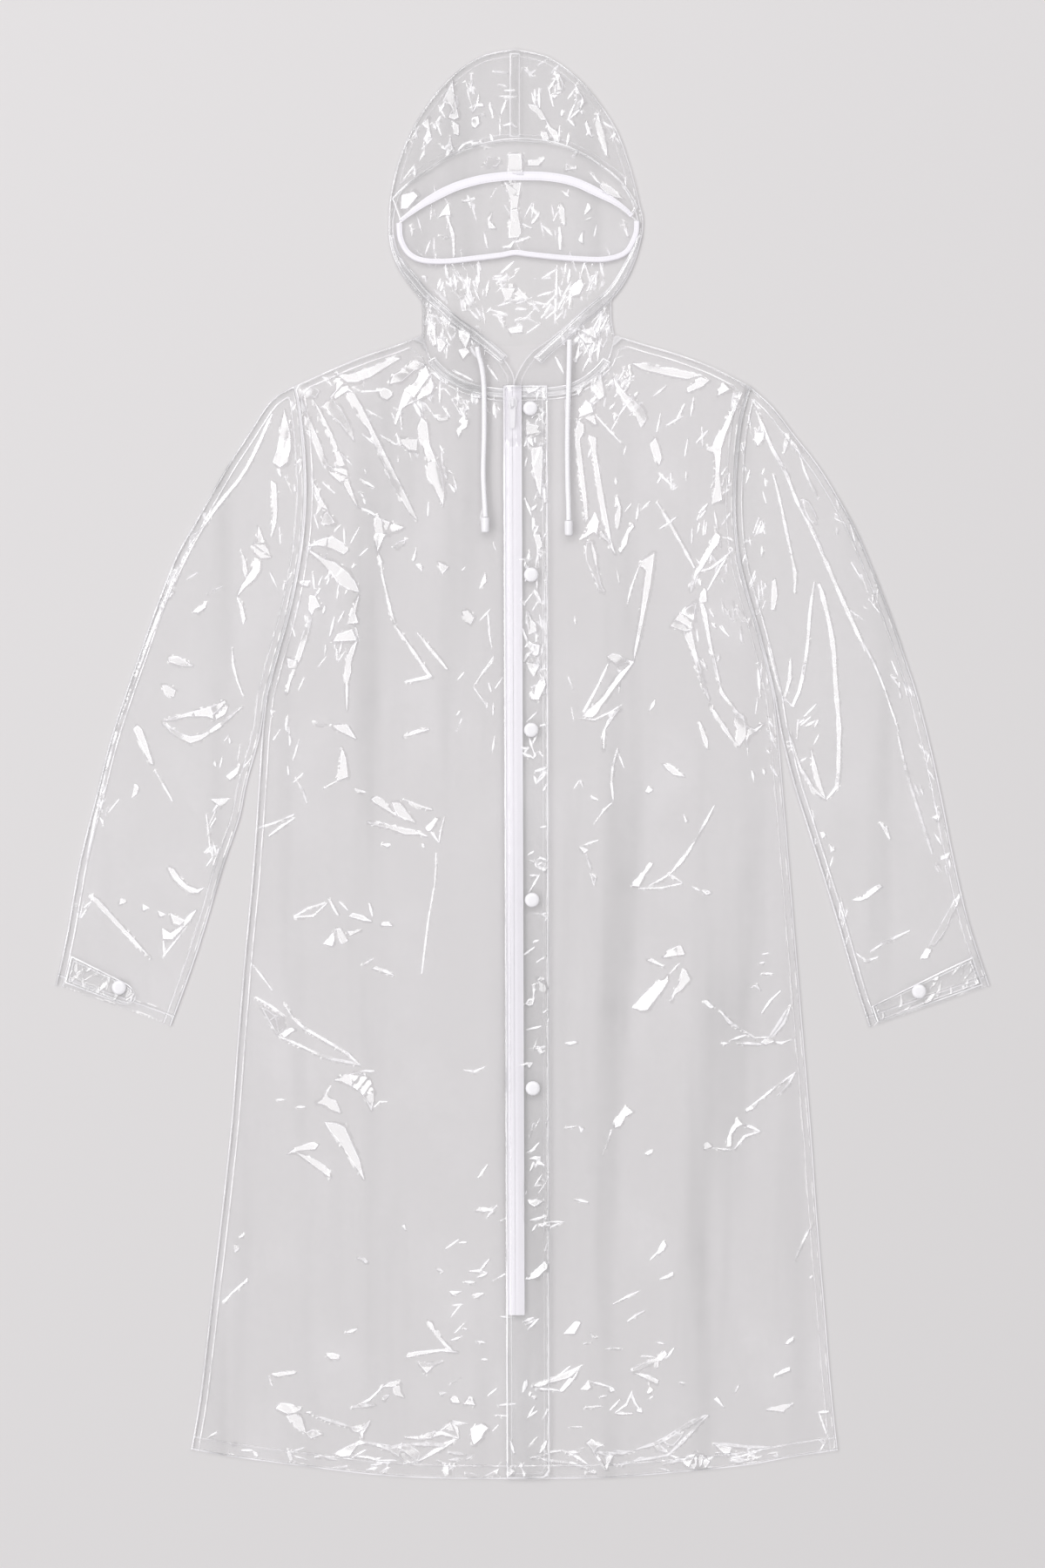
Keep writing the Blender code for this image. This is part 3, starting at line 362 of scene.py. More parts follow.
ZIP_LINE = ((-9.5, 362), (-6.0, -697))
FLANK = 0.37             # slope of what shines, towards the lamps
SHADOW_KEPT = 0.35       # how much of its shade a layer throws
RIM_SHADOW = 0.32        # and how much a welded edge, which is thicker, adds
SHARP = math.radians(8)  # a fold sharper than this shows as a line
# Welded lines: the mark and the place in millimetres, half a width, the strength of a painted highlight and
# of a painted shade beside it
WELD = (("edge", 0.5, 0.9, 0.6, 0), ("edge", 1.9, 0.5, 0.06, 0.6), ("edge", 7.2, 0.7, 0.4, 0),
        ("edge", 8.5, 0.5, 0.06, 0.6))
HEM_WELD = (("hem", 0.5, 0.9, 0.6, 0), ("hem", 1.8, 0.5, 0.12, 0.7), ("hem", 12.6, 0.8, 0.40, 0),
            ("hem", 13.8, 0.5, 0.12, 0.6))
FOLDS_BACK = (
    # x0, y0, x1, y1, width, height: a soft fold, as in the solids
    (-180, 330, -90, 240, 22, 0.5), (160, 340, 90, 200, 26, 0.45), (-205, 190, -120, 60, 24, 0.5),
    (-250, -60, -150, -130, 30, 0.4), (230, -40, 120, -210, 34, 0.5), (-60, 120, -20, -160, 20, 0.35),
    (60, -260, 150, -420, 28, 0.45), (-240, -420, -110, -520, 36, 0.5), (-40, -560, 130, -640, 24, 0.4))

side_right, side_left = Line(SIDE_RIGHT, ARMHOLE_RIGHT), Line(SIDE_LEFT, ARMHOLE_LEFT)
hem = Line(HEM_RIGHT, HEM_LEFT[::-1])
top_right, top_left = Line(SHOULDER_RIGHT, NECK_RIGHT), Line(SHOULDER_LEFT, NECK_LEFT)
neck_right, neck_left = Line(NECK_RIGHT), Line(NECK_LEFT)
zip_line = Line(ZIP_LINE)


def rise(share):
    """From 0 at 0 to 1 at 1, with a soft start and end"""
    share = np.clip(share, 0, 1)
    return share * share * (3 - 2 * share)


def patch(foot, head, near, far, u, v):
    """Points over the outline between four lines, in rows of v and columns of u"""
    ends = [line.at(np.array([0.0, 1.0])) for line in (foot, head)]
    u_, v_ = u[None, :, None], v[:, None, None]
    edges = ((1 - v_) * foot.at(u)[None] + v_ * head.at(u)[None]
             + (1 - u_) * near.at(v)[:, None] + u_ * far.at(v)[:, None])
    corners = ((1 - u_) * ((1 - v_) * ends[0][0] + v_ * ends[1][0])
               + u_ * ((1 - v_) * ends[0][1] + v_ * ends[1][1]))
    return edges - corners


def ripple(x, y, seed, depth=1.0):
    """Low uneven waves that film keeps from being folded in its bag"""
    chance = np.random.default_rng(seed)
    height = np.zeros_like(x)
    waves, shortest, longest, steep = 14, 38, 170, 0.0030
    turns = chance.uniform(0, math.pi, waves)
    lengths = chance.uniform(shortest, longest, waves)
    for turn, long, phase in zip(turns, lengths, chance.uniform(0, 2 * math.pi, waves)):
        height += steep * long * np.sin(
            2 * math.pi * (x * math.cos(turn) + y * math.sin(turn)) / long + phase)
    return depth * height


def grid(points, **marks):
    """Points and faces over rows of points, with a number at each point for each mark"""
    rows, columns = points.shape[:2]
    index = np.arange(rows * columns).reshape(rows, columns)
    faces = np.stack([index[:-1, :-1], index[:-1, 1:], index[1:, 1:], index[1:, :-1]], -1)
    return (points.reshape(-1, 3), faces.reshape(-1, 4).tolist(),
            {name: np.broadcast_to(value, (rows, columns)).ravel() for name, value in marks.items()})


def surface(name, finish, *parts):
    """One mesh from parts of points in millimetres, faces and marks"""
    points = np.vstack([part[0] for part in parts])
    faces, start = [], 0
    for part in parts:
        faces += [[corner + start for corner in face] for face in part[1]]
        start += len(part[0])
    data = bpy.data.meshes.new(name)
    data.from_pydata((points * MM).tolist(), [], faces)
    for mark in parts[0][2]:
        values = np.concatenate([part[2][mark] for part in parts])
        data.attributes.new(mark, "FLOAT", "POINT").data.foreach_set("value", values.astype(np.float32))
    data.shade_smooth()
    data.set_sharp_from_angle(angle=SHARP)
    return link(name, data, finish)


def inside(x, y, outline):
    """Which places lie within a closed outline"""
    within = np.zeros(np.shape(x), bool)
    for (x0, y0), (x1, y1) in zip(outline, np.roll(outline, -1, 0)):
        if y0 != y1:
            within ^= ((y0 > y) != (y1 > y)) & (x < x0 + (y - y0) * (x1 - x0) / (y1 - y0))
    return within


def stepped(line, step):
    """Places along a line at about even steps, with both its ends"""
    return line.at(np.linspace(0, 1, max(2, int(line.length / step))))[:, :2]


def film(outline, level, spacing=GRAIN, facets=(), seed=0):
    """Film over an outline: level(x, y) gives its height and marks. Points lie closer at facets"""
    chance = np.random.default_rng(seed)
    closed = Line([*outline, outline[0]])

    def scatter(low, high, gap):
        x, y = np.meshgrid(np.arange(low[0], high[0], gap), np.arange(low[1], high[1], gap * 0.866))
        x = x + (np.arange(len(x)) % 2 * gap / 2)[:, None]
        spots = np.column_stack([x.ravel(), y.ravel()])
        return spots + chance.uniform(-0.2, 0.2, spots.shape) * gap

    def by_facets(spots, reach):
        close = np.zeros(len(spots), bool)
        for facet in facets:
            ask = facet.close_to(*spots.T)
            ask[ask] = facet.nearest(*spots[ask].T)[2] < reach
            close |= ask
        return close

    loose = scatter(outline.min(0), outline.max(0), spacing)
    if facets:
        fine = scatter(outline.min(0), outline.max(0), FINE_GRAIN)
        fine = fine[by_facets(fine, FINE_REACH) & ~by_facets(fine, FINE_GRAIN * 0.4)]
        loose = np.vstack([loose[~by_facets(loose, FINE_REACH)], fine])
    loose = loose[inside(*loose.T, outline)]
    loose = loose[closed.distance(*loose.T) > RIM_ROWS[-1] + 1.0]
    share = np.linspace(0, 1, int(closed.length / 4))[:-1]
    for row in RIM_ROWS:
        spots = [closed.at(share) + closed.side(share) * row * way for way in (1, -1)]
        spots = np.vstack([spot[inside(*spot.T, outline)] for spot in spots])
        spots = spots[closed.distance(*spots.T) > row * 0.93]
        loose = np.vstack([loose, spots])
    spots, joins, count = [loose], [], len(loose)
    for ring in [outline] + [facet.ring for facet in facets]:
        spots.append(ring)
        joins += [(count + k, count + (k + 1) % len(ring)) for k in range(len(ring))]
        count += len(ring)
    flat, _, faces = delaunay_2d_cdt([Vector(spot) for spot in np.vstack(spots)], joins, [], 0, 1e-3,
                                     False)[:3]
    flat, faces = np.array(flat), np.array(faces)
    faces = faces[inside(*flat[faces].mean(1).T, outline)]
    height, marks = level(*flat.T)
    return np.column_stack([flat, height]), faces.tolist(), marks


def clear_film(name, lines, cloud=0.02, crumple=0.09, patches=70.0, mirrored=0.135, clear=0.978):
    """Clear film: mostly let through, with a gloss by angle, a faint cloud, welded lines painted as pale
    highlights with painted shade beside them, and painted highlights along the outlines of its facets.
    crumple is how deep its bump is, patches how fine, and clear what each layer lets through"""
    made = Finish(name)
    seam = 0.0
    streaks = made.noise(1.0, 3.0, (16, 1.3, 1)).between(0.42, 0.75)
    # painted highlight: pale, broken lines along the outlines of the facets, standing in for glints at the
    # folds
    ridge = made.mark("ridge").line(0.0, 0.9) * made.noise(90, 2.0).between(0.3, 0.62)
    haze_and_painted_highlight = cloud + streaks * 0.06 + made.noise(11.0, 4.0).between(0.45, 0.75) * 0.06 + ridge * 0.6
    streaks_and_painted_shade = streaks * (1 - ridge)
    relief = made.noise(patches, 3.0)
    # each welded line paints a pale line, a painted highlight, and a darker one, painted shade, and adds a
    # little bump
    for mark, place, half, strength, painted_shade in lines:
        trace = made.mark(mark).line(place, half)
        haze_and_painted_highlight = haze_and_painted_highlight + trace * strength
        seam = trace * strength + seam
        streaks_and_painted_shade = streaks_and_painted_shade + trace * painted_shade
        relief = relief + trace * 0.5
    normal = made.bump(relief, crumple)
    body = made.solid(made.blend(streaks_and_painted_shade, PALE_HAZE_AND_PAINTED_HIGHLIGHT, GREY_STREAKS_AND_PAINTED_SHADE), HAZE_ROUGH, normal)
    through = made.clear((clear, clear - 0.002, clear))
    gloss = made.solid((1, 1, 1), GLOSS_ROUGH + made.noise(30, 2.0) * 0.08, normal, metallic=1.0)
    facing = made.number("ShaderNodeLayerWeight", {}, {"Blend": 0.5, "Normal": normal}, "Facing")
    mirror = mirrored + facing ** 5 * (1 - mirrored)
    # the lamps' rays meet a plainer film, without its noise
    dark = made.solid(SHADED, HAZE_ROUGH)
    rim = (1 - made.mark("edge").between(1.2, 3.2)) * RIM_SHADOW
    shadow = made.mix((seam + cloud + mirrored + 0.03) * SHADOW_KEPT + rim, through, dark)
    seen = made.mix(mirror, made.mix(haze_and_painted_highlight, through, body), gloss)
    return made.show(made.mix(made.ray("Is Shadow Ray"), seen, shadow))


sewn_film = clear_film("clear film with welded seams", WELD + HEM_WELD)
back_film = clear_film("clear film of the back", (WELD[0], HEM_WELD[0]), mirrored=0.03)


def folded(x, y, folds):
    """Height of the soft folds, the same ridges as in the solids"""
    highest = np.zeros_like(x)
    for x0, y0, x1, y1, width, height in folds:
        along = ((x - x0) * (x1 - x0) + (y - y0) * (y1 - y0)) / ((x1 - x0) ** 2 + (y1 - y0) ** 2)
        along = np.clip(along, 0, 1)
        off = np.hypot(x - x0 - (x1 - x0) * along, y - y0 - (y1 - y0) * along) / (width / 2)
        crest = height * (0.55 + 0.45 * np.sin(math.pi * along))
        highest = np.maximum(highest, crest * np.clip(1 - off * off, 0, 1) ** 2)
    return highest


def welds(edge, x, y, *places, half=1.2):
    """Low uneven beads beside an edge, where the film is welded: they catch the light as lines"""
    uneven = 0.75 + 0.25 * np.sin(x / 7 + np.sin(y / 5)) * np.sin(y / 11 + 1)
    return sum(FLANK * half * uneven * np.clip(1 - np.abs(edge - place) / half, 0, 1) for place in places)


def back_level(x, y):
    inward = np.minimum(side_right.distance(x, y), side_left.distance(x, y))
    height = BACK_LEVEL + np.clip(ripple(x, y, 3, 0.12), -0.3, 0.3) * rise(inward / 20)
    height = height - folded(x, y, FOLDS_BACK)
    return height, {"edge": np.clip(inward, 0, FAR), "hem": np.clip(hem.distance(x, y), 0, FAR),
                    "ridge": np.full_like(x, NO_RIDGE)}


back_outline = np.vstack([stepped(Line(*stretch), 5)[:-1] for stretch in (
    (HEM_RIGHT, HEM_LEFT[::-1]), (SIDE_LEFT, ARMHOLE_LEFT), (SHOULDER_LEFT,), BACK_NECK,
    (SHOULDER_RIGHT[::-1],), (ARMHOLE_RIGHT[::-1], SIDE_RIGHT[::-1]))])
back = surface("back", back_film, film(back_outline, back_level, 7.0, seed=3))
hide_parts("back_panel")

# ---------------------------------------------------------------------------------------
# Fronts: two pieces of film that lie on the back and meet under the zip, welded to it at the
# side seams and shoulders, with a turned-up hem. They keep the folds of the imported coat.
# ---------------------------------------------------------------------------------------
HEM_DEPTH, HEM_STEP = 14.0, 0.6
BACK_SLOPE = 2.0         # slope of the film's way back down behind a facet
MOST_RISE, WIDEST = 5.4, 14.0        # a facet's greatest rise, and its width before it is cut up
FOLD_SHOWN = 0.2         # height of a soft fold's crest, as a share of its listed height
BRIGHT_WAY = (-0.8, 0.6)     # the way a facet's bright side faces
QUIET, CALM = 5.0, 30.0      # creases fade out so near a seam, and low waves so near
SHOWN = 0.3              # a facet's outline is marked where so much of it is left
SEAM_WELDS, HEM_WELDS = (1.8, 7.6), (1.8, 12.6)      # beads, in from a seam and up from a hem
FOLDS_FRONT_RIGHT = (
    # x0, y0, x1, y1, width, height
    (-180, 374, -112, 397, 24, 3.0), (-206, 355, -160, 254, 30, 4.0),
    (-170, 364, -105, 241, 24, 3.8), (-98, 338, -76, 254, 24, 3.0),
    (-130, 380, -92, 360, 24, 3.0), (-208, 212, -159, 169, 28, 4.0),
    (-142, 236, -125, 136, 24, 3.4), (-125, 136, -85, 86, 24, 3.0),
    (-161, 121, -172, 47, 24, 3.2), (-153, -57, -85, -72, 24, 2.8),
    (-216, -142, -136, -147, 30, 3.4), (-261, -227, -158, -293, 28, 4.0),
    (-181, -306, -146, -334, 28, 3.4), (-190, -349, -153, -405, 26, 3.4),
    (-228, -380, -187, -402, 26, 3.0), (-175, -660, -66, -652, 28, 3.8),
    (-166, -626, -116, -606, 24, 2.8), (-112, -578, -59, -574, 24, 2.6),
    (-250, -60, -218, -49, 24, 2.6), (-85, -108, -98, -204, 24, 2.2),
    (-240, -629, -210, -654, 26, 3.0))
FOLDS_FRONT_LEFT = (
    (110, 392, 208, 369, 24, 3.2), (92, 368, 119, 329, 24, 3.2),
    (208, 352, 187, 312, 24, 3.6), (187, 312, 194, 261, 24, 3.0),
    (76, 319, 87, 208, 24, 3.0), (132, 254, 165, 198, 24, 2.8),
    (124, 202, 111, 106, 26, 4.0), (108, 99, 66, 45, 26, 4.0),
    (191, 223, 162, 147, 24, 3.4), (162, 138, 213, 23, 34, 4.0),
    (115, -121, 187, -40, 24, 2.8), (108, -238, 142, -204, 26, 3.2),
    (179, -232, 236, -268, 26, 3.2), (236, -268, 256, -236, 24, 2.8),
    (220, -338, 262, -300, 24, 2.8), (199, -375, 232, -357, 26, 3.2),
    (79, -382, 104, -336, 24, 2.6), (44, -606, 72, -589, 24, 2.6),
    (105, -589, 141, -574, 26, 3.0), (76, -664, 181, -631, 28, 3.8),
    (190, -655, 238, -660, 24, 2.8))
FACETS_FRONT_RIGHT = (
    # A facet: the x and y of its corners in turn. A thin fold: its width, then its points
    (-184, 382, -170, 380, -153, 385, -136, 392, -125, 397, -119, 396, -131, 389, -148, 378, -161, 373,
     -170, 373),
    (-181, 377, -170, 369, -170, 365, -182, 357, -187, 358, -181, 365),
    (-116, 385, -106, 394, -95, 390, -107, 383, -117, 374, -129, 371, -125, 380),
    (-94, 389, -86, 368, -89, 362, -117, 348, -123, 331, -125, 333, -115, 364, -105, 372),
    (-134.5, 367, -129.5, 365, -127, 360, -132, 355.5, -137.5, 358.5, -139, 363.5),
    (1.7, -164, 364, -139, 364),
    (-170, 367, -164, 362, -153, 342, -115, 265, -108, 251, -102, 238, -110, 246, -119, 261, -127, 273,
     -135, 294, -143, 311, -150, 328, -156, 334, -161, 346, -168, 353, -171, 362),
    (-183, 354, -176, 345, -166, 326, -164, 316, -170, 323, -178, 334, -186, 340, -191, 348, -195, 349,
     -190, 354),
    (-216, 357, -195, 308, -193, 299, -190, 292, -185, 289, -183, 286, -189, 287, -195, 293, -200, 304,
     -210, 332, -215, 346),
    (-204, 356, -197, 345, -185, 321, -171, 287, -169, 275, -161, 252, -166, 259, -173, 272, -188, 284,
     -182, 289, -181, 299, -190, 326),
    (-203, 367, -198, 364, -202, 358, -207, 360, -212, 363, -215, 364, -210, 367),
    (-204, 276, -198, 266, -198, 260, -201, 264), (-197, 261, -190, 249, -195, 251, -201, 244),
    (-190, 246, -183, 236, -188, 234, -196, 235, -193, 244),
    (-202, 217, -192, 221, -183, 221, -175, 216, -170, 209, -174, 205, -183, 210, -193, 213, -200, 214,
     -210, 212),
    (-210, 210, -204, 207, -193, 200, -183, 197, -170, 187, -163, 178, -159, 168, -170, 171, -178, 176,
     -188, 189, -198, 200),
    (1.7, -161, 252, -144, 244, -136, 238),
    (-142, 242, -136, 238, -125, 235, -116, 231, -135, 222, -138, 215, -141, 208, -143, 221, -144, 236),
    (-141, 209, -137, 198, -136, 185, -124, 137, -128, 147, -132, 159, -138, 189),
    (-98, 338, -93, 333, -90, 311, -79, 283, -76, 267, -77, 253, -87, 273, -93, 281, -92, 295, -96, 309,
     -101, 319, -102, 328),
    (-119, 317, -102, 317, -103, 306, -110, 307, -116, 312),
    (-86, 341, -78, 338, -71, 341, -73, 336, -81, 335),
    (-60, 337, -53, 336, -54, 329, -59, 326, -62, 319, -64, 326, -59, 332),
    (-125.5, 212, -120.5, 217, -113.5, 219.5, -115, 215.5, -121, 210.5),
    (-107.5, 199.5, -103.5, 210.5, -105, 200), (-103.5, 195, -98, 193.5, -98, 188.5),
    (-82, 197.5, -72, 192.5, -78, 185.5), (-40, 178, -36, 187, -35, 178, -42, 171),
    (-124, 136, -103, 108, -98, 100, -88, 86, -95, 91, -113, 120, -120, 129),
    (-115, 81, -95, 86, -88, 86, -90, 84, -112, 80), (2.5, -102, 128, -90, 113, -73, 93),
    (-216.5, 179, -207, 179, -209.5, 174, -214.5, 175.5),
    (-207, 165, -202, 164, -197, 154, -202, 152, -205, 146, -208, 151),
    (-205, 142, -208, 130, -215, 107, -226, 81, -229, 69, -229, 78, -224, 93, -216, 121, -212, 132),
    (-229, 103.5, -220.5, 100, -222.5, 94, -228, 95),
    (-159, 165, -163, 147, -160, 138, -171, 137, -162, 159),
    (-184, 120, -180, 127, -171, 129, -166, 132, -162, 121),
    (-161, 120, -167, 100, -167, 90, -170, 79, -170, 66, -171, 53, -173, 95, -170, 107, -166, 115),
    (-203.5, 41, -195, 41, -191.5, 38.5, -197, 37), (-185, 38, -171, 39, -162, 25, -180, 34),
    (-116, 27, -108, 32, -102, 34, -91, 34, -110, 28), (-176, 17, -172, 6, -170, -12, -181, -16, -178, -6),
    (1.7, -181, -16, -193, -23), (-58, 149, -53, 150, -47, 143, -50, 137, -56, 139),
    (1.4, -47, 77, -28, 105), (1.4, -45, 79, -28, 102), (1.4, -47, 75, -36, 59),
    (2.5, -257, -62, -239, -56, -223, -49), (2.5, -247, -70, -236, -61, -223, -53),
    (2.1, -221, -14, -215, -24, -210, -37), (2.1, -162, -24, -158, -26, -153, -27),
    (-147, -34, -142, -31, -136, -34, -131, -41, -123, -50, -144, -37),
    (-127, -37, -119, -38, -104, -57, -121, -50, -125, -42), (2.5, -115, -34, -102, -40, -88, -44),
    (-151, -56, -136, -57, -119, -62, -102, -64, -102, -68, -114, -68, -131, -62, -148, -58),
    (-94, -61.5, -89, -56.5, -82, -53, -89, -64, -92, -65), (1.9, -76, -52, -79, -62, -81, -75),
    (1.9, -89, -66, -81, -76), (1.7, -103, -66, -93, -70),
    (-136.5, -78, -131.5, -77, -128, -78.5, -131.5, -80.5),
    (-97.5, -77, -95.5, -78, -95.5, -80.5, -97.5, -79.5),
    (1.5, -84, -87, -85, -114, -91, -148, -94, -172, -98, -204), (1.9, -222, -148, -208, -140, -193, -135),
    (1.9, -222, -149, -205, -148, -195, -142, -191, -136), (-187, -132, -179, -147, -182, -145, -186, -138),
    (1.7, -178, -134, -170, -142), (-169, -148, -165, -145, -157, -147, -147, -153, -155, -152),
    (1.7, -149, -136, -146, -148), (-137.5, -157, -134.5, -154.5, -130.5, -153.5, -127, -157.5),
    (-194, -175, -184, -164, -183, -170, -185, -177),
    (-181, -160, -177, -160, -172, -168, -170, -172, -176, -175, -180, -168),
    (-170, -163, -158, -162, -168, -167), (-156, -196, -152.5, -192.5, -145, -189, -148.5, -192.5),
    (-146, -199, -140, -198, -132, -201, -125, -206), (1.7, -264, -194, -253, -208, -244, -220),
    (2.1, -260, -227, -238, -240, -231, -245),
    (-255, -236, -248, -240, -241, -245, -233, -247, -232, -255, -236, -262, -239, -263),
    (-236, -262, -226, -257, -222, -259, -232, -266),
    (2.4, -232, -233, -221, -251, -204, -262, -187, -272, -172, -281, -158, -293),
    (2.4, -238, -265, -219, -273, -202, -281, -192, -286, -176, -289, -158, -293),
    (1.7, -156, -299, -144, -299),
    (-183, -308, -161, -300, -153, -304, -148, -308, -145, -317, -145, -329, -147, -337, -152, -327, -157,
     -320, -165, -314, -176, -309),
    (1.7, -144, -334, -140, -329, -132, -329),
    (-200, -330, -195, -327, -191, -320, -189, -325, -182, -328, -179, -334, -177, -340, -187, -336, -192,
     -332),
    (1.7, -193, -323, -187, -314), (1.7, -239, -327, -231, -327), (2, -220, -334, -212, -334),
    (-192, -349, -181, -350, -173, -354, -159, -385, -154, -405, -181, -364, -187, -358),
    (-229, -380, -219, -373, -206, -369, -199, -371, -202, -375, -221, -377),
    (-221, -378, -202, -385, -193, -391, -189, -395, -187, -403), (2, -57, -298, -51, -301, -37, -295),
    (2, -43, -403, -34, -391), (-281, -469.5, -278.5, -469, -276.5, -473, -280, -475.5),
    (2, -275, -461, -271, -458), (-293, -524, -268, -501, -268, -504, -283, -516, -289, -524),
    (-244, -595, -233, -592, -222, -594, -238, -597), (1.7, -247, -597, -244, -606),
    (-190, -576.5, -186.5, -574, -178, -576, -179, -579.5, -186.5, -579.5),
    (-172, -554, -166, -551, -161, -550.5, -165.5, -554),
    (-161, -481.5, -155, -480.5, -151, -485, -152.5, -486.5, -156, -483),
    (-117, -450, -114.5, -449, -113.5, -453.5), (-45, -435, -38, -432, -28, -435, -38, -436),
    (-83.5, -492.5, -80.5, -491.5, -77, -495), (1.9, -51, -494, -40, -494, -34, -496),
    (1.9, -34, -496, -43, -500), (-71, -514, -59, -514, -67.5, -517),
    (-49, -517, -42, -515.5, -38, -516.5, -44, -520), (-70, -619, -65, -616, -61, -622.5, -67.5, -622),
    (-56.5, -623.5, -50.5, -616.5, -46.5, -624.5), (-80.5, -612.5, -74.5, -612.5, -78, -615),
    (-92, -543, -88, -545, -85, -552, -74, -565, -68, -571, -74, -568, -84, -558),
    (-113, -578, -105, -573, -85, -571, -63, -573, -80, -572, -102, -576, -110, -578),
    (-102, -582, -91, -584, -77, -582, -85, -585, -93, -593, -100, -585),
    (-136, -607, -130, -603, -123, -601, -119, -602, -119, -606),
    (-125.5, -607.5, -119.5, -605.5, -118.5, -612.5, -115, -617.5, -124.5, -614),
    (-135.5, -616, -129.5, -615, -134, -620), (2, -136, -607, -147, -618, -155, -622, -166, -627),
    (-166, -627, -157, -624, -143, -625, -157, -627),
    (-240, -628, -236, -623, -225, -624, -216, -629, -221, -632, -229, -633),
    (-229, -636, -221, -633, -215, -637, -211, -652, -219, -648, -223, -641, -228, -639),
    (-211, -652, -204, -649, -195, -653, -206, -657), (-211, -632, -208, -631, -207, -633),
    (2.2, -203, -635, -195, -640, -187, -640, -176, -644, -168, -646),
    (-168, -646, -157, -647, -148, -640, -151, -646, -155, -652, -156, -657, -158, -652, -164, -650),
    (-181, -671, -170, -665, -157, -660, -153, -662, -161, -664, -165, -669, -168, -674, -176, -675, -179,
     -674),
    (2.5, -155, -661, -144, -663, -131, -666, -123, -665, -113, -663),
    (-138, -666, -117, -664, -106, -667, -100, -671, -102, -679, -108, -682, -115, -680, -121, -674, -127,
     -670),
    (2.7, -113, -663, -97, -663, -83, -664, -70, -661, -62, -657),
    (3.4, -102, -680, -91, -674, -80, -666, -68, -661),
    (3.1, -114, -656, -102, -657, -89, -656, -80, -652, -72, -652, -62, -657),
    (-102, -657, -93, -652, -85, -650, -89, -657), (2, -79, -649, -68, -641, -53, -643),
    (-76, -645.5, -70, -641.5, -66.5, -650, -72, -649), (2.5, -68, -644, -62, -652, -62, -657),
    (2, -168, -674, -155, -674, -144, -678, -131, -682), (1.7, -139, -679, -123, -679),
    (1.9, -151, -688, -142, -686), (-138, -690, -131.5, -685.5, -130.5, -686.5, -134.5, -690.5),
    (-50, -648, -40, -643, -33, -647, -38, -652, -40, -657, -47, -663, -49, -657),
    (-77, -685.5, -72, -684, -72, -692.5, -75, -695, -77, -690.5),
    (-55, -691, -49, -691, -40, -696, -53, -697), (-36, -694, -23, -687, -26, -696, -34, -696),
    (-284.5, -661.5, -281, -662.5, -282.5, -666), (2, -274, -669, -263, -669),
    (-261.5, -673, -259, -671, -258, -674.5),
    (-228, -669.5, -225.5, -671, -224, -677, -225.5, -679.5, -228, -674.5), (2, -182, -686, -176, -686),
    (1.9, -306, -656, -298, -651))
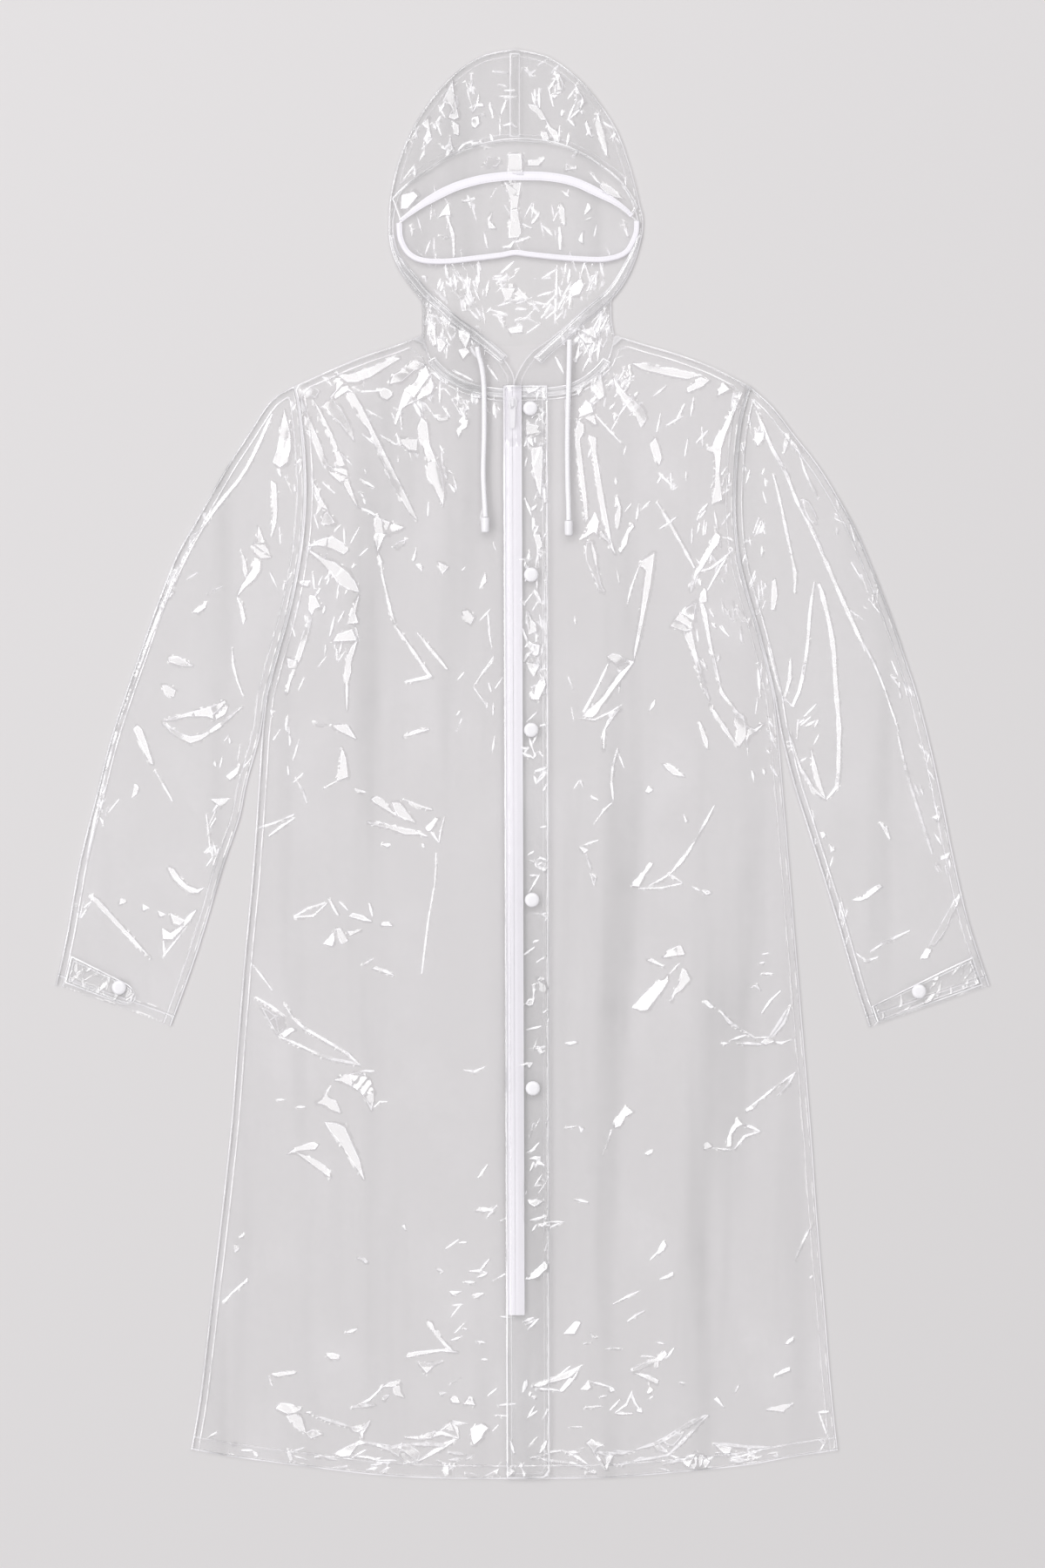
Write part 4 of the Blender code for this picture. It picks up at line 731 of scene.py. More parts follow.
FACETS_FRONT_LEFT = (
    (72, 385, 77, 380, 80, 359, 75, 356, 67, 368, 70, 375), (58, 374, 62, 375, 58, 365, 55, 360, 53, 365),
    (62, 355, 67, 351, 70, 341, 72, 331, 58, 340, 55, 338, 58, 348),
    (55, 336, 60, 331, 60, 324, 56, 317, 63, 257, 64, 240, 62, 236, 57, 277, 52, 312, 53, 328),
    (65, 321, 72, 318, 72, 304, 87, 217, 91, 205, 85, 214, 83, 226, 79, 239, 74, 261, 69, 304),
    (71, 246, 75, 236, 74, 231, 85, 217, 70, 227, 57, 219, 63, 227),
    (63, 217, 68, 217, 72, 205, 73, 192, 77, 175, 81, 168, 75, 170, 70, 185, 63, 198, 62, 207),
    (91, 259, 93, 261, 96, 251, 96, 243, 94, 231, 91, 231, 91, 243, 94, 251),
    (108, 235, 109, 232, 104, 226, 102, 215, 96, 207, 97, 217, 102, 227),
    (108, 391, 124, 391, 136, 387, 153, 385, 175, 380, 162, 376, 145, 379, 119, 385),
    (173, 377, 183, 375, 176, 369, 162, 363, 161, 367, 167, 371), (195, 372, 202.5, 366, 191, 360),
    (215, 363, 198, 321, 194, 308, 192, 283, 195, 258, 187, 255, 184, 252, 188, 270, 189, 287, 188, 302,
     186, 310, 189, 319, 196, 329, 208, 353),
    (180.5, 310.5, 185.5, 309, 191, 304, 183, 305.5),
    (89, 377, 96, 367, 102, 360, 111, 353, 118, 346, 121, 336, 116, 329, 111, 340, 104, 348, 92, 367),
    (130, 318, 133, 311, 136, 299, 134, 292, 128, 302, 125, 311), (1.9, 72, 340, 96, 314),
    (1.9, 133, 284, 150, 269), (2.5, 132, 255, 149, 226, 168, 192),
    (189, 226, 193, 222, 191, 215, 186, 209, 176, 192, 170, 185, 165, 168, 164, 175, 169, 187, 182, 210,
     186, 221),
    (2, 170, 187, 187, 193, 206, 210), (2.5, 191, 222, 201, 221, 209, 217),
    (2.5, 201, 205, 189, 185, 181, 170),
    (129, 206, 125, 175, 114, 121, 109, 102, 110, 113, 116, 147, 121, 189, 118, 193, 114, 193, 117, 198),
    (2, 114, 193, 108, 178, 102, 155), (83, 105, 88, 108, 94, 107, 99, 103, 109, 100, 92, 98),
    (109, 100, 77, 57, 72, 49, 68, 46, 59, 47, 79, 66, 92, 85, 99, 92),
    (2, 86, 103, 72, 73, 57, 45, 62, 42), (1.7, 56, 45, 72, 44, 97, 58),
    (96, 54, 91, 49, 81, 34, 80, 15, 79, 17, 79, 32, 83, 42, 89, 50),
    (129.5, 63.5, 129, 57.5, 124.5, 52.5, 126, 58),
    (145, 135, 153, 146, 162, 153, 170, 158, 168, 146, 166, 132, 159, 130),
    (158, 130, 165, 130, 171, 104, 183, 62, 177, 74, 164, 115, 159, 124),
    (183, 58, 189, 51, 207, 23, 213, 18, 209, 18, 196, 34, 186, 51),
    (173, 158, 177, 156, 180, 147, 184, 119, 193, 80, 189, 88, 179, 132, 177, 146),
    (193, 78, 196, 70, 215, 45, 210, 47, 193, 70),
    (210, 51, 216, 47, 218, 37, 218, 27, 212, 18, 208, 23, 210, 34, 207, 42),
    (218, 37, 227, 34, 235, 39, 228, 32, 221, 28, 219, 22),
    (173, 42, 177, 34, 181, 23, 181, 15, 177, 22, 174, 32),
    (210, 153, 215, 147, 221, 138, 215, 139, 210, 147), (213, 134, 215, 119, 213, 122),
    (179, 170, 180, 159, 176, 158, 173, 161), (2.5, 220, 219, 221, 193, 223, 168, 230, 137),
    (2, 210, 202, 213, 183, 223, 156), (2.2, 230, 98, 232, 66),
    (2.4, 93, 15, 90, 4, 87, -5, 86, -12, 88, -22, 89, -34), (2.4, 75, -51, 79, -45, 87, -38),
    (1.9, 68, -31, 74, -35), (1.7, 56, -80, 70, -75, 74, -74),
    (55.5, -80.5, 61, -86.5, 64, -83.5, 59, -80.5), (1.5, 62, -87, 68, -104),
    (67.5, -106.5, 72, -111, 71, -117, 68.5, -113.5),
    (138, 0, 146, -1, 152, -7, 159, -12, 148, -10, 142, -5),
    (120.5, -26, 123.5, -21, 127, -25, 123.5, -27.5), (157.5, -49, 161, -55, 159.5, -56.5),
    (2, 187, -41, 179, -56, 171, -70), (2.9, 171, -70, 164, -82, 156, -93, 145, -106),
    (2, 145, -106, 131, -115, 124, -118), (126, -96, 127, -98, 120, -107, 114, -119, 108, -118, 108, -115),
    (1.9, 115, -121, 132, -121, 156, -116), (2, 156, -115, 142, -106), (1.7, 166, -119, 173, -123),
    (177, -124.5, 181.5, -123, 185, -125.5, 180, -127),
    (138, -188, 145, -181, 152, -177, 155, -177, 158, -185), (122, -191, 126, -189, 138, -197),
    (108, -237, 114, -229, 131, -213, 140, -209, 142, -206, 142, -212, 136, -221, 122, -239, 116, -240),
    (1.7, 145, -203, 153, -194),
    (155, -203, 159, -200, 164, -210, 155, -220, 149, -224, 146, -231, 145, -229, 149, -220, 153, -214,
     155, -209),
    (177, -231, 181.5, -231, 186.5, -236.5, 182.5, -236.5), (2.5, 193, -240, 204, -253, 215, -259),
    (2, 215, -259, 222, -264, 233, -268, 241, -266), (2.5, 195, -272, 200, -272),
    (2.5, 211, -272, 222, -272, 233, -273), (1.7, 203, -269, 218, -264),
    (2, 241, -266, 252, -250, 260, -236), (2, 244, -266, 255, -253, 262, -235),
    (233, -271, 240, -266, 246, -270, 238, -273), (2, 242, -270, 258, -272, 263, -268),
    (1.9, 234, -242, 238, -235, 247, -225, 252, -221), (2.5, 224, -217, 228, -216, 232, -220),
    (1.7, 235, -185, 240, -184), (1.7, 232, -194, 237, -193), (1.9, 234, -204, 244, -204),
    (1.9, 222, -334, 242, -319, 255, -308, 266, -301), (219, -338, 222.5, -333, 229, -332, 225, -336),
    (1.9, 266, -301, 260, -312, 249, -323),
    (211, -346, 215, -351, 209, -354, 204, -361, 204, -372, 200, -373, 200, -365, 204, -355, 208, -349),
    (2.7, 215, -351, 225, -354, 232, -358), (3.1, 232, -358, 222, -360, 214, -365, 207, -375),
    (178, -369.5, 181.5, -368.5, 185.5, -372.5, 178, -375.5), (1.7, 187, -374, 204, -376),
    (119.5, -379.5, 125.5, -375.5, 127, -378.5, 123, -380.5),
    (90, -349, 96, -339, 102, -334, 108, -339, 101, -343, 96, -352, 91, -354),
    (1.7, 87, -357, 82, -372, 78, -381), (1.7, 43, -354, 52, -353), (55.5, -353, 60, -355.5, 57.5, -358.5),
    (42, -271.5, 51.5, -270, 53, -271.5, 47, -273.5), (1.9, 52, -424, 64, -427),
    (19, -447.5, 26, -445, 27, -450, 18.5, -450), (1.7, 27, -446, 40, -446), (1.9, 40, -446, 28, -451),
    (1.7, 125, -483, 132, -476),
    (132, -475.5, 135.5, -468, 139, -465.5, 140.5, -469, 137.5, -474, 133, -477.5),
    (134, -502, 147, -495, 147, -498, 142, -501), (1.9, 89, -526, 100, -520, 115, -513),
    (1.7, 103, -543, 111, -537, 119, -533), (41, -555, 52, -543, 57, -544, 51, -555),
    (66.5, -554.5, 72, -559, 68.5, -559),
    (11, -606, 17, -602, 28, -600, 51, -589, 56, -589, 51, -594, 45, -598, 17, -606),
    (56, -589, 52, -597, 46, -605, 39, -612, 37, -610, 49, -595), (2, 13, -609, 26, -609, 37, -611),
    (56.5, -610, 65, -600.5, 66.5, -607.5, 64, -610), (2.2, 67, -602, 75, -604, 85, -607),
    (85.5, -608, 88, -607.5, 90.5, -610.5, 86.5, -611.5),
    (106, -590, 119, -584, 132, -578, 139, -572, 141, -575, 136, -581, 128, -583, 115, -590, 108, -592),
    (129, -583.5, 133, -582, 133, -587, 131.5, -588.5), (109, -593, 124, -596, 133, -601, 132, -604),
    (1.7, 123, -599, 124, -607), (122, -612.5, 124.5, -606.5, 128, -610, 123.5, -613.5),
    (2.2, 107, -612, 102, -624, 91, -632), (1.9, 91, -633, 107, -633),
    (2.2, 107, -613, 110, -623, 116, -630), (112, -630.5, 116, -627.5, 117, -632),
    (187.5, -619, 191.5, -618.5, 197, -627), (1.7, 208, -612, 211, -606),
    (257, -565, 260.5, -560.5, 265, -558, 264, -561.5, 259.5, -565),
    (248, -596, 253, -591, 261, -588, 261, -591),
    (238, -629, 255, -624, 264, -624, 257, -629, 255, -631, 244, -630),
    (1.9, 283, -448, 274, -465, 266, -484), (280, -500, 282.5, -498.5, 282.5, -501),
    (3.4, 115, -667, 125, -664, 136, -660, 147, -653, 158, -646, 168, -640, 179, -635),
    (2.4, 142, -674, 153, -664, 164, -652, 175, -641, 181, -635),
    (138, -659, 149, -654, 158, -652, 153, -658, 147, -664, 141, -663),
    (128, -663, 136, -665, 142, -671, 132, -669), (2.5, 79, -671, 91, -673, 107, -670, 116, -667),
    (82, -686, 82, -678, 85, -674, 89, -674, 85, -681, 83, -687),
    (1.7, 90, -684, 107, -680, 124, -677, 142, -674),
    (63, -662, 68, -658, 72, -663, 79, -664, 73, -666, 70, -671, 68, -667),
    (2, 70, -671, 77, -680, 81, -688), (2.4, 17, -675, 26, -671, 40, -669),
    (2, 40, -669, 51, -674, 62, -681, 68, -686), (2.5, 17, -677, 36, -680, 53, -682, 64, -687),
    (64, -690, 69.5, -688, 71, -691.5),
    (157, -679, 162, -674, 170, -672, 176, -674, 183, -680, 179, -686, 170, -688, 164, -686, 158, -682),
    (2, 145, -674, 158, -679), (2.5, 187, -662, 196, -663, 213, -665, 230, -666, 243, -666),
    (189, -664, 204, -666, 202, -674, 196, -671), (2, 204, -677, 215, -675, 226, -671, 240, -666),
    (204, -679, 211, -681, 220, -679, 213, -677), (223, -674.5, 229, -678, 226.5, -673.5),
    (2.2, 183, -686, 198, -686, 213, -683), (1.9, 289, -632, 299, -631), (1.9, 290, -633, 297, -653),
    (1.9, 289, -657, 295, -663, 291, -669))


# Small creases strewn over a region: x0, y0, x1, y1, how many, their way in degrees, widest
SPRINKLED_FRONT = {
    "right": ((-100, 335, -20, 385, 50, 120, 3.0), (-210, 240, -60, 378, 42, 120, 2.2),
              (-75, -60, -25, 240, 14, 80, 1.5), (-75, -660, -20, -440, 24, 20, 2.4),
              (-300, -690, -30, -670, 26, 0, 2.2), (-222, 90, -150, 230, 34, 75, 2.2),
              (-262, -20, -215, 90, 14, 75, 2.0)),
    "left": ((42, 335, 105, 390, 50, 60, 3.0), (60, 230, 205, 378, 40, 60, 2.2),
             (40, -60, 100, 220, 10, 90, 1.5), (35, -650, 160, -560, 14, 20, 2.0),
             (40, -690, 290, -668, 26, 0, 2.2), (165, 90, 212, 235, 34, 105, 2.2),
             (215, -20, 255, 90, 12, 105, 2.0))}


class Facet:
    """A flat bright side of a fold: it rises away from the light and drops steeply behind"""

    MARGIN = 6.5

    def __init__(self, corners):
        across = np.linalg.svd(corners - corners.mean(0))[2][1]
        self.across = across * (1 if across @ np.array(BRIGHT_WAY) > 0 else -1)
        self.front = (corners @ self.across).max()
        self.slope = min(FLANK, MOST_RISE / (self.front - (corners @ self.across).min()))
        self.low, self.high = corners.min(0) - self.MARGIN, corners.max(0) + self.MARGIN
        ring = []
        for start, end in zip(corners, np.roll(corners, -1, 0)):
            count = max(1, int(np.hypot(*(end - start)) / 4))
            ring += [start + (end - start) * k / count for k in range(count)]
        self.ring, self.corners = np.array(ring), corners

    def nearest(self, x, y):
        """The nearest place on the facet's outline, and how far it is"""
        best, best_x, best_y = np.full(len(x), np.inf), np.array(x), np.array(y)
        for (x0, y0), (x1, y1) in zip(self.corners, np.roll(self.corners, -1, 0)):
            dx, dy = x1 - x0, y1 - y0
            share = np.clip(((x - x0) * dx + (y - y0) * dy) / (dx * dx + dy * dy), 0, 1)
            near_x, near_y = x0 + share * dx, y0 + share * dy
            far = np.hypot(x - near_x, y - near_y)
            closer = far < best
            best = np.where(closer, far, best)
            best_x, best_y = np.where(closer, near_x, best_x), np.where(closer, near_y, best_y)
        return best_x, best_y, best

    def close_to(self, x, y):
        return (x > self.low[0]) & (x < self.high[0]) & (y > self.low[1]) & (y < self.high[1])

    def raise_film(self, x, y, height, ridge):
        """Lifts the film's height to the facet, and notes the distance from its outline"""
        close = self.close_to(x, y)
        if not close.any():
            return
        x, y = x[close], y[close]
        near_x, near_y, far = self.nearest(x, y)
        within = inside(x, y, self.corners)
        flat_x, flat_y = np.where(within, x, near_x), np.where(within, y, near_y)
        lift = self.slope * (self.front - flat_x * self.across[0] - flat_y * self.across[1])
        lift = lift - np.where(within, 0, far * BACK_SLOPE)
        height[close] = np.maximum(height[close], lift)
        ridge[close] = np.minimum(ridge[close], far)


def cut_up(corners):
    """A facet's corners, cut across where it is too wide or too bent for one flat side"""
    from_middle = corners - corners.mean(0)
    long_way, aside = np.linalg.svd(from_middle)[2]
    along, off = from_middle @ long_way, from_middle @ aside
    if np.ptp(off) <= WIDEST:
        return [corners]
    at = along if np.ptp(along) > 1.5 * np.ptp(off) else off
    pieces = []
    for at in (at - (at.max() + at.min()) / 2, (at.max() + at.min()) / 2 - at):
        kept = []
        for a, b, at_a, at_b in zip(corners, np.roll(corners, -1, 0), at, np.roll(at, -1)):
            if at_a >= 0:
                kept.append(a)
            if at_a * at_b < 0:
                kept.append(a + (b - a) * at_a / (at_a - at_b))
        if len(kept) > 2:
            pieces += cut_up(np.array(kept))
    return pieces


def ribbon(wide, *line):
    """Corners of the flat sides along a thin fold, which is uneven and runs out at its ends"""
    spots = Line(np.reshape(line, (-1, 2)))
    count = max(3, int(spots.length / 14) + 1)
    chance = np.random.default_rng(int(abs(np.sum(line))))
    share = np.linspace(0, 1, count)
    half = wide / 2 * chance.uniform(0.7, 1.15, count)
    half[[0, -1]] = wide * 0.12
    middle, aside = spots.at(share), spots.side(share) * half[:, None]
    return [np.array([a - i, b - j, b + j, a + i])
            for a, b, i, j in zip(middle, middle[1:], aside, aside[1:])]


def short_fold(chance, wide, x, y, way, long):
    return ribbon(chance.uniform(*wide), x, y, x + long * math.cos(way), y + long * math.sin(way))


def facets_of(rows, extra=0.0, seed=0):
    """The listed facets and thin folds, and short thin folds beside a share of them"""
    chance = np.random.default_rng(seed)
    made = []
    for row in rows:
        made += ribbon(*row) if len(row) % 2 else cut_up(np.reshape(row, (-1, 2)).astype(float))
        if chance.random() < extra:
            x, y = made[-1][0] + chance.uniform(-9, 9, 2)
            made += short_fold(chance, (1.2, 3.2), x, y, chance.uniform(0, math.pi), chance.uniform(5, 13))
    return [Facet(corners) for corners in made]


def sprinkled(*regions, seed=0):
    """Small creases strewn over regions: x0, y0, x1, y1, how many, their way in degrees, widest"""
    chance = np.random.default_rng(seed)
    made = []
    for x0, y0, x1, y1, count, way, widest in regions:
        for _ in range(count):
            x, y = chance.uniform(x0, x1), chance.uniform(y0, y1)
            made += short_fold(chance, (1.0, widest), x, y, math.radians(way + chance.uniform(-35, 35)),
                               chance.uniform(4, 19))
    return [Facet(corners) for corners in made]


def faceted(x, y, facets):
    """Height of the facets at places, and the distance from the nearest outline of one"""
    height, ridge = np.zeros_like(x), np.full_like(x, NO_RIDGE)
    for facet in facets:
        facet.raise_film(x, y, height, ridge)
    return height, ridge


def marked(edge, shown, ridge, hem=None):
    """A film's marks: distances from its edge, its hem and the outline of any facet that shows"""
    marks = {"edge": np.clip(edge, 0, FAR), "ridge": np.where(shown > SHOWN, ridge, NO_RIDGE)}
    if hem is not None:
        marks["hem"] = np.clip(hem, 0, FAR)
    return marks


def body_plain(x, y):
    """Height of the fronts without their folds, which all that lies on them is set by"""
    right = x < zip_line.cross(y, 1)
    inward = np.where(right, x - side_right.cross(y, 1), side_left.cross(y, 1) - x)
    down = np.where(right, top_right.cross(x, 0), top_left.cross(x, 0)) - y
    up = y - hem.cross(x, 0)
    air = AIR * rise(inward / AIR_RUN) * rise(up / AIR_RUN) * rise(down / AIR_RUN)
    return TOP_LEVEL + air + HEM_STEP * rise((HEM_DEPTH - up) / 2)


def off_cords(x, y):
    """0 under the drawcords and 1 away from them, so that no crease stands up through one"""
    far = [Line([spot[:2] for spot in route]).distance(x, y) for route in (CORD_RIGHT, CORD_LEFT)]
    return rise((np.minimum(*far) - CORD_RADIUS) / 4)


for side, foot, head, edge, folds, rows, seed in (
        ("right", HEM_RIGHT, (SHOULDER_RIGHT, NECK_RIGHT), side_right, FOLDS_FRONT_RIGHT,
         FACETS_FRONT_RIGHT, 11),
        ("left", HEM_LEFT, (SHOULDER_LEFT, NECK_LEFT), side_left, FOLDS_FRONT_LEFT,
         FACETS_FRONT_LEFT, 12)):
    facets = facets_of(rows) + sprinkled(*SPRINKLED_FRONT[side], seed=seed)
    foot, head = Line(foot), Line(*head)

    def front_level(x, y):
        inward, down, up = (line.distance(x, y) for line in (edge, head, foot))
        quiet = rise(inward / QUIET) * rise(down / QUIET) * rise(up / QUIET)
        relief, ridge = faceted(x, y, facets)
        relief = relief + FOLD_SHOWN * folded(x, y, folds)
        calm = rise(inward / CALM) * rise(down / CALM) * rise((up - 10) / CALM)
        height = body_plain(x, y) + quiet * relief * off_cords(x, y)
        height += calm * np.clip(ripple(x, y, seed), -1.2, 1.6)
        seam = np.minimum(inward, down)
        height += np.maximum(welds(seam, x, y, *SEAM_WELDS), welds(up, x, y, *HEM_WELDS))
        return height, marked(seam, quiet, ridge, up)

    outline = np.vstack([stepped(line, 4)[:-1] for line in (foot, Line(ZIP_LINE[::-1]))]
                        + [stepped(head, 4)[::-1][:-1], stepped(edge, 4)[::-1][:-1]])
    front = surface("front_%s_film" % side, sewn_film, film(outline, front_level, GRAIN, facets, seed))
    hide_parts("front_" + side)

# ---------------------------------------------------------------------------------------
# Sleeves: each one piece of film folded along its outer edge, welded under the arm and round
# the armhole. They lie a little away from the body, open at the cuff.
# ---------------------------------------------------------------------------------------
CUFF_AIR_RUN = 40.0
SLEEVE_QUIET, SLEEVE_CALM = 4.0, 30.0
UNDER_LEVEL = 0.3        # the under layer, flat on the table
SLEEVE_RIGHT_OUT = ((-224, 370), (-245, 355), (-268, 321), (-290, 287), (-319, 236), (-338, 202),
                    (-358, 151), (-376, 100), (-388, 66), (-402, 23), (-415, -28), (-432, -96),
                    (-444, -164), (-455, -215))
SLEEVE_RIGHT_IN = ((-250, 66), (-256, 28), (-269, -19), (-276, -53), (-292, -100), (-307, -151),
                   (-319, -189), (-331, -223), (-343, -255))
SLEEVE_LEFT_OUT = ((224, 370), (245, 348), (266, 321), (292, 287), (322, 236), (339, 198),
                   (360, 144), (375, 100), (386, 66), (399, 15), (410, -36), (422, -96),
                   (436, -155), (456, -216))
SLEEVE_LEFT_IN = ((246, 66), (253, 28), (265, -19), (277, -57), (292, -104), (308, -155),
                  (319, -193), (328, -223), (339, -256))
FOLDS_SLEEVE_RIGHT = (
    (-234, 340, -240, 300, 24, 3.0), (-250, 326, -335, 180, 24, 3.2),
    (-256, 228, -267, 172, 26, 3.8), (-351, 41, -285, 54, 34, 4.0),
    (-378, 35, -339, -40, 24, 3.2), (-421, -128, -362, -187, 24, 3.4),
    (-354, -159, -322, -145, 24, 3.0), (-340, -101, -312, -118, 22, 2.6))
FOLDS_SLEEVE_LEFT = (
    (240, 308, 335, 115, 24, 3.4), (244, 289, 262, 157, 24, 3.4),
    (285, 170, 292, -10, 42, 4.0), (266, 100, 264, 57, 22, 2.6),
    (392, -182, 421, -135, 24, 3.2), (326, -132, 354, -116, 22, 2.6),
    (338, -192, 383, -163, 24, 2.6))
FACETS_SLEEVE_RIGHT = (
    (3.4, -244, 342, -258, 311, -272, 284, -287, 265, -306, 241, -321, 217, -335, 189, -345, 168, -353,
     149, -363, 125, -374, 96, -385, 66, -392, 45),
    (2.2, -392, 45, -403, 6, -414, -40, -425, -96),
    (2.5, -293, 291, -306, 270, -321, 238, -335, 212, -342, 189, -358, 151, -375, 110, -388, 70),
    (-346.5, 167, -340.5, 167, -348, 158.5),
    (-232, 346, -226, 321, -226, 308, -229, 295, -236, 290, -243, 295, -239, 306),
    (-245, 277, -240, 273, -239, 249, -240, 236, -244, 223, -244, 232, -243, 244),
    (-257, 232, -253, 221, -248, 210, -245, 202, -255, 201, -261, 207, -262, 212, -258, 221),
    (-261, 202, -255, 201, -256, 189, -261, 181, -272, 171, -277, 165, -273, 175, -263, 190),
    (-274, 208, -271, 202, -268, 189, -270, 183, -272, 189),
    (-278, 163, -273, 156, -270, 142, -272, 137, -275, 149), (1.7, -283, 113, -281, 91, -272, 66),
    (-345, 104, -335, 105, -321, 96, -331, 96, -344, 100),
    (-321, 149, -316, 154, -308, 157, -309, 153, -316, 148),
    (-351, 77, -346, 77, -338, 72, -340, 66, -348, 68), (2.5, -222, 181, -229, 151, -232, 121),
    (-239, 98, -231, 96, -229, 79, -236, 86),
    (-351, 42, -340, 46, -301, 57, -290, 62, -287, 56, -290, 49, -299, 44, -307, 47, -327, 47, -338, 44),
    (-351, 41, -333, 30, -323, 27, -312, 29, -304, 34, -273, 56, -295, 36, -314, 24, -323, 21, -333, 25,
     -341, 30),
    (-379, 34, -375, 38, -371, 34, -367, 23, -360, 0, -363, 1, -373, 23), (2, -358, -6, -341, -36),
    (-378, -19, -374, -22, -376, -29, -380, -32), (-412, -51.5, -408.5, -55.5, -408.5, -61.5),
    (-289, -12, -275, 0, -278, -9, -285, -15), (-303, -34, -285, -33, -290, -38, -295, -41, -299, -37),
    (1.9, -308, -49, -304, -85),
    (-346, -100, -340, -102, -334, -111, -327, -118, -317, -122, -310, -120, -316, -125, -324, -125, -333,
     -118, -340, -111),
    (-422, -127, -414, -131, -362, -189, -380, -173, -416, -136),
    (-391.5, -130.5, -386.5, -134.5, -392.5, -136.5), (-370, -136.5, -364, -140, -369.5, -142.5),
    (-355, -143, -348, -146.5, -353, -148.5), (-343, -145, -336, -150, -329, -152, -334, -157, -340, -155),
    (-318, -142, -324, -152, -333, -162, -341, -170, -350, -170, -351, -160, -343, -165, -334, -159, -326,
     -148),
    (1.9, -350, -172, -349, -187), (1.9, -350, -187, -328, -159))
FACETS_SLEEVE_LEFT = (
    (1.4, 330, 123, 348, 88, 368, 30),
    (2.5, 230, 367, 247, 346), (227, 324, 236, 323, 235, 317, 230, 311, 227, 316),
    (257, 323, 261, 318, 256, 304, 255, 312), (262, 317, 267, 312, 271, 304, 264, 309),
    (1.7, 271, 302, 278, 280, 289, 259), (2.5, 228, 346, 237, 324, 245, 306, 257, 285, 266, 261, 274, 244),
    (3.1, 274, 244, 284, 226, 293, 205, 306, 175, 318, 148, 334, 113),
    (274, 259, 280, 255, 286, 244, 288, 234, 281, 238, 276, 248),
    (2.2, 245, 283, 252, 255, 258, 226, 263, 204), (3.7, 263, 204, 266, 192, 266, 168),
    (244, 179, 247, 181, 249, 164, 246, 151, 243, 151),
    (2.5, 285, 178, 281, 151, 278, 113, 273, 83, 267, 62, 261, 56, 254, 66),
    (3.6, 262, 102, 261, 87, 260, 74, 257, 66),
    (3.9, 290, 176, 299, 141, 304, 110, 306, 74, 309, 40, 309, 15, 308, -15, 305, -26, 298, -33),
    (1.9, 240, 115, 247, 87, 255, 61), (260, 32, 272, -2, 284, -22, 296, -34, 285, -27, 272, -7, 262, 18),
    (282, 15, 293, -24, 296, -33, 289, -26, 285, -14, 283, 0),
    (323, -132, 332, -130, 339, -123, 346, -118, 351, -119, 337, -130, 329, -133),
    (427, -130, 424, -138, 417, -151, 414, -160, 408, -169, 402, -176, 397, -176, 422, -132),
    (394, -179, 399, -180.5, 395, -189, 389.5, -189), (409.5, -89.5, 418, -85.5, 414.5, -91.5, 408.5, -93),
    (400, -51.5, 408.5, -48, 406, -55), (349, -57, 356, -63, 359, -72, 354, -67),
    (291, -66, 296, -68.5, 293, -72), (300.5, -78.5, 304.5, -83.5, 301.5, -85.5),
    (1.9, 366, 32, 374, -4, 385, -40, 400, -87), (2.5, 327, -185, 334, -192, 347, -188),
    (1.9, 340, -182, 357, -172, 378, -162))
SPRINKLED_SLEEVE = {
    "right": ((-240, 130, -216, 355, 26, 85, 2.0), (-300, -40, -272, 50, 7, 70, 1.8),
              (-312, -115, -297, -45, 10, 75, 1.8), (-418, -60, -402, -10, 6, 75, 1.6),
              (-438, -165, -424, -120, 5, 75, 1.6), (-350, 150, -300, 250, 8, 60, 1.6)),
    "left": ((213, 130, 238, 358, 36, 95, 2.0), (272, -95, 288, -52, 10, 108, 2.0),
             (286, -142, 304, -95, 11, 108, 2.0), (300, -190, 320, -142, 10, 108, 2.0),
             (306, 215, 326, 260, 8, 120, 1.6), (330, 130, 352, 185, 8, 115, 1.6),
             (360, 50, 386, 110, 8, 112, 1.6), (385, -30, 404, 30, 8, 108, 1.6),
             (404, -110, 424, -45, 8, 105, 1.8), (262, 0, 290, 60, 8, 60, 1.8))}
SEAM_GAP = 0.3
SLEEVES = {}


def sleeve_points(side, u, v):
    """Points over a laid sleeve, from its outer to its inner edge and down its length"""
    armhole, out, inner, way = SLEEVES[side][:4]
    cap = Line((armhole.points + (way * SEAM_GAP, 0))[::-1])
    outer = Line([cap.points[0], *out[1:]])
    under_arm = Line([cap.points[-1], *inner[1:]])
    cuff = Line([outer.points[-1], under_arm.points[-1]])
    return patch(cap, cuff, outer, under_arm, u, v), outer.length


def sleeve_lines(side):
    """A sleeve's cap, outer fold, under-arm seam and cuff"""
    corners = [sleeve_points(side, np.linspace(0, 1, 40), np.array([end]))[0][0] for end in (0.0, 1.0)]
    sides = [sleeve_points(side, np.array([end]), np.linspace(0, 1, 80))[0][:, 0] for end in (0.0, 1.0)]
    return Line(corners[0]), Line(sides[0]), Line(sides[1]), Line(corners[1])


def sleeve_plain(side, x, y):
    """Height of a sleeve's upper layer without its folds"""
    cap, outer, under_arm, cuff = (line.distance(x, y) for line in SLEEVE_LINES[side])
    return TOP_LEVEL + (AIR * rise(outer / AIR_RUN) * rise(under_arm / AIR_RUN) * rise(cap / AIR_RUN)
                        * rise(cuff / CUFF_AIR_RUN))


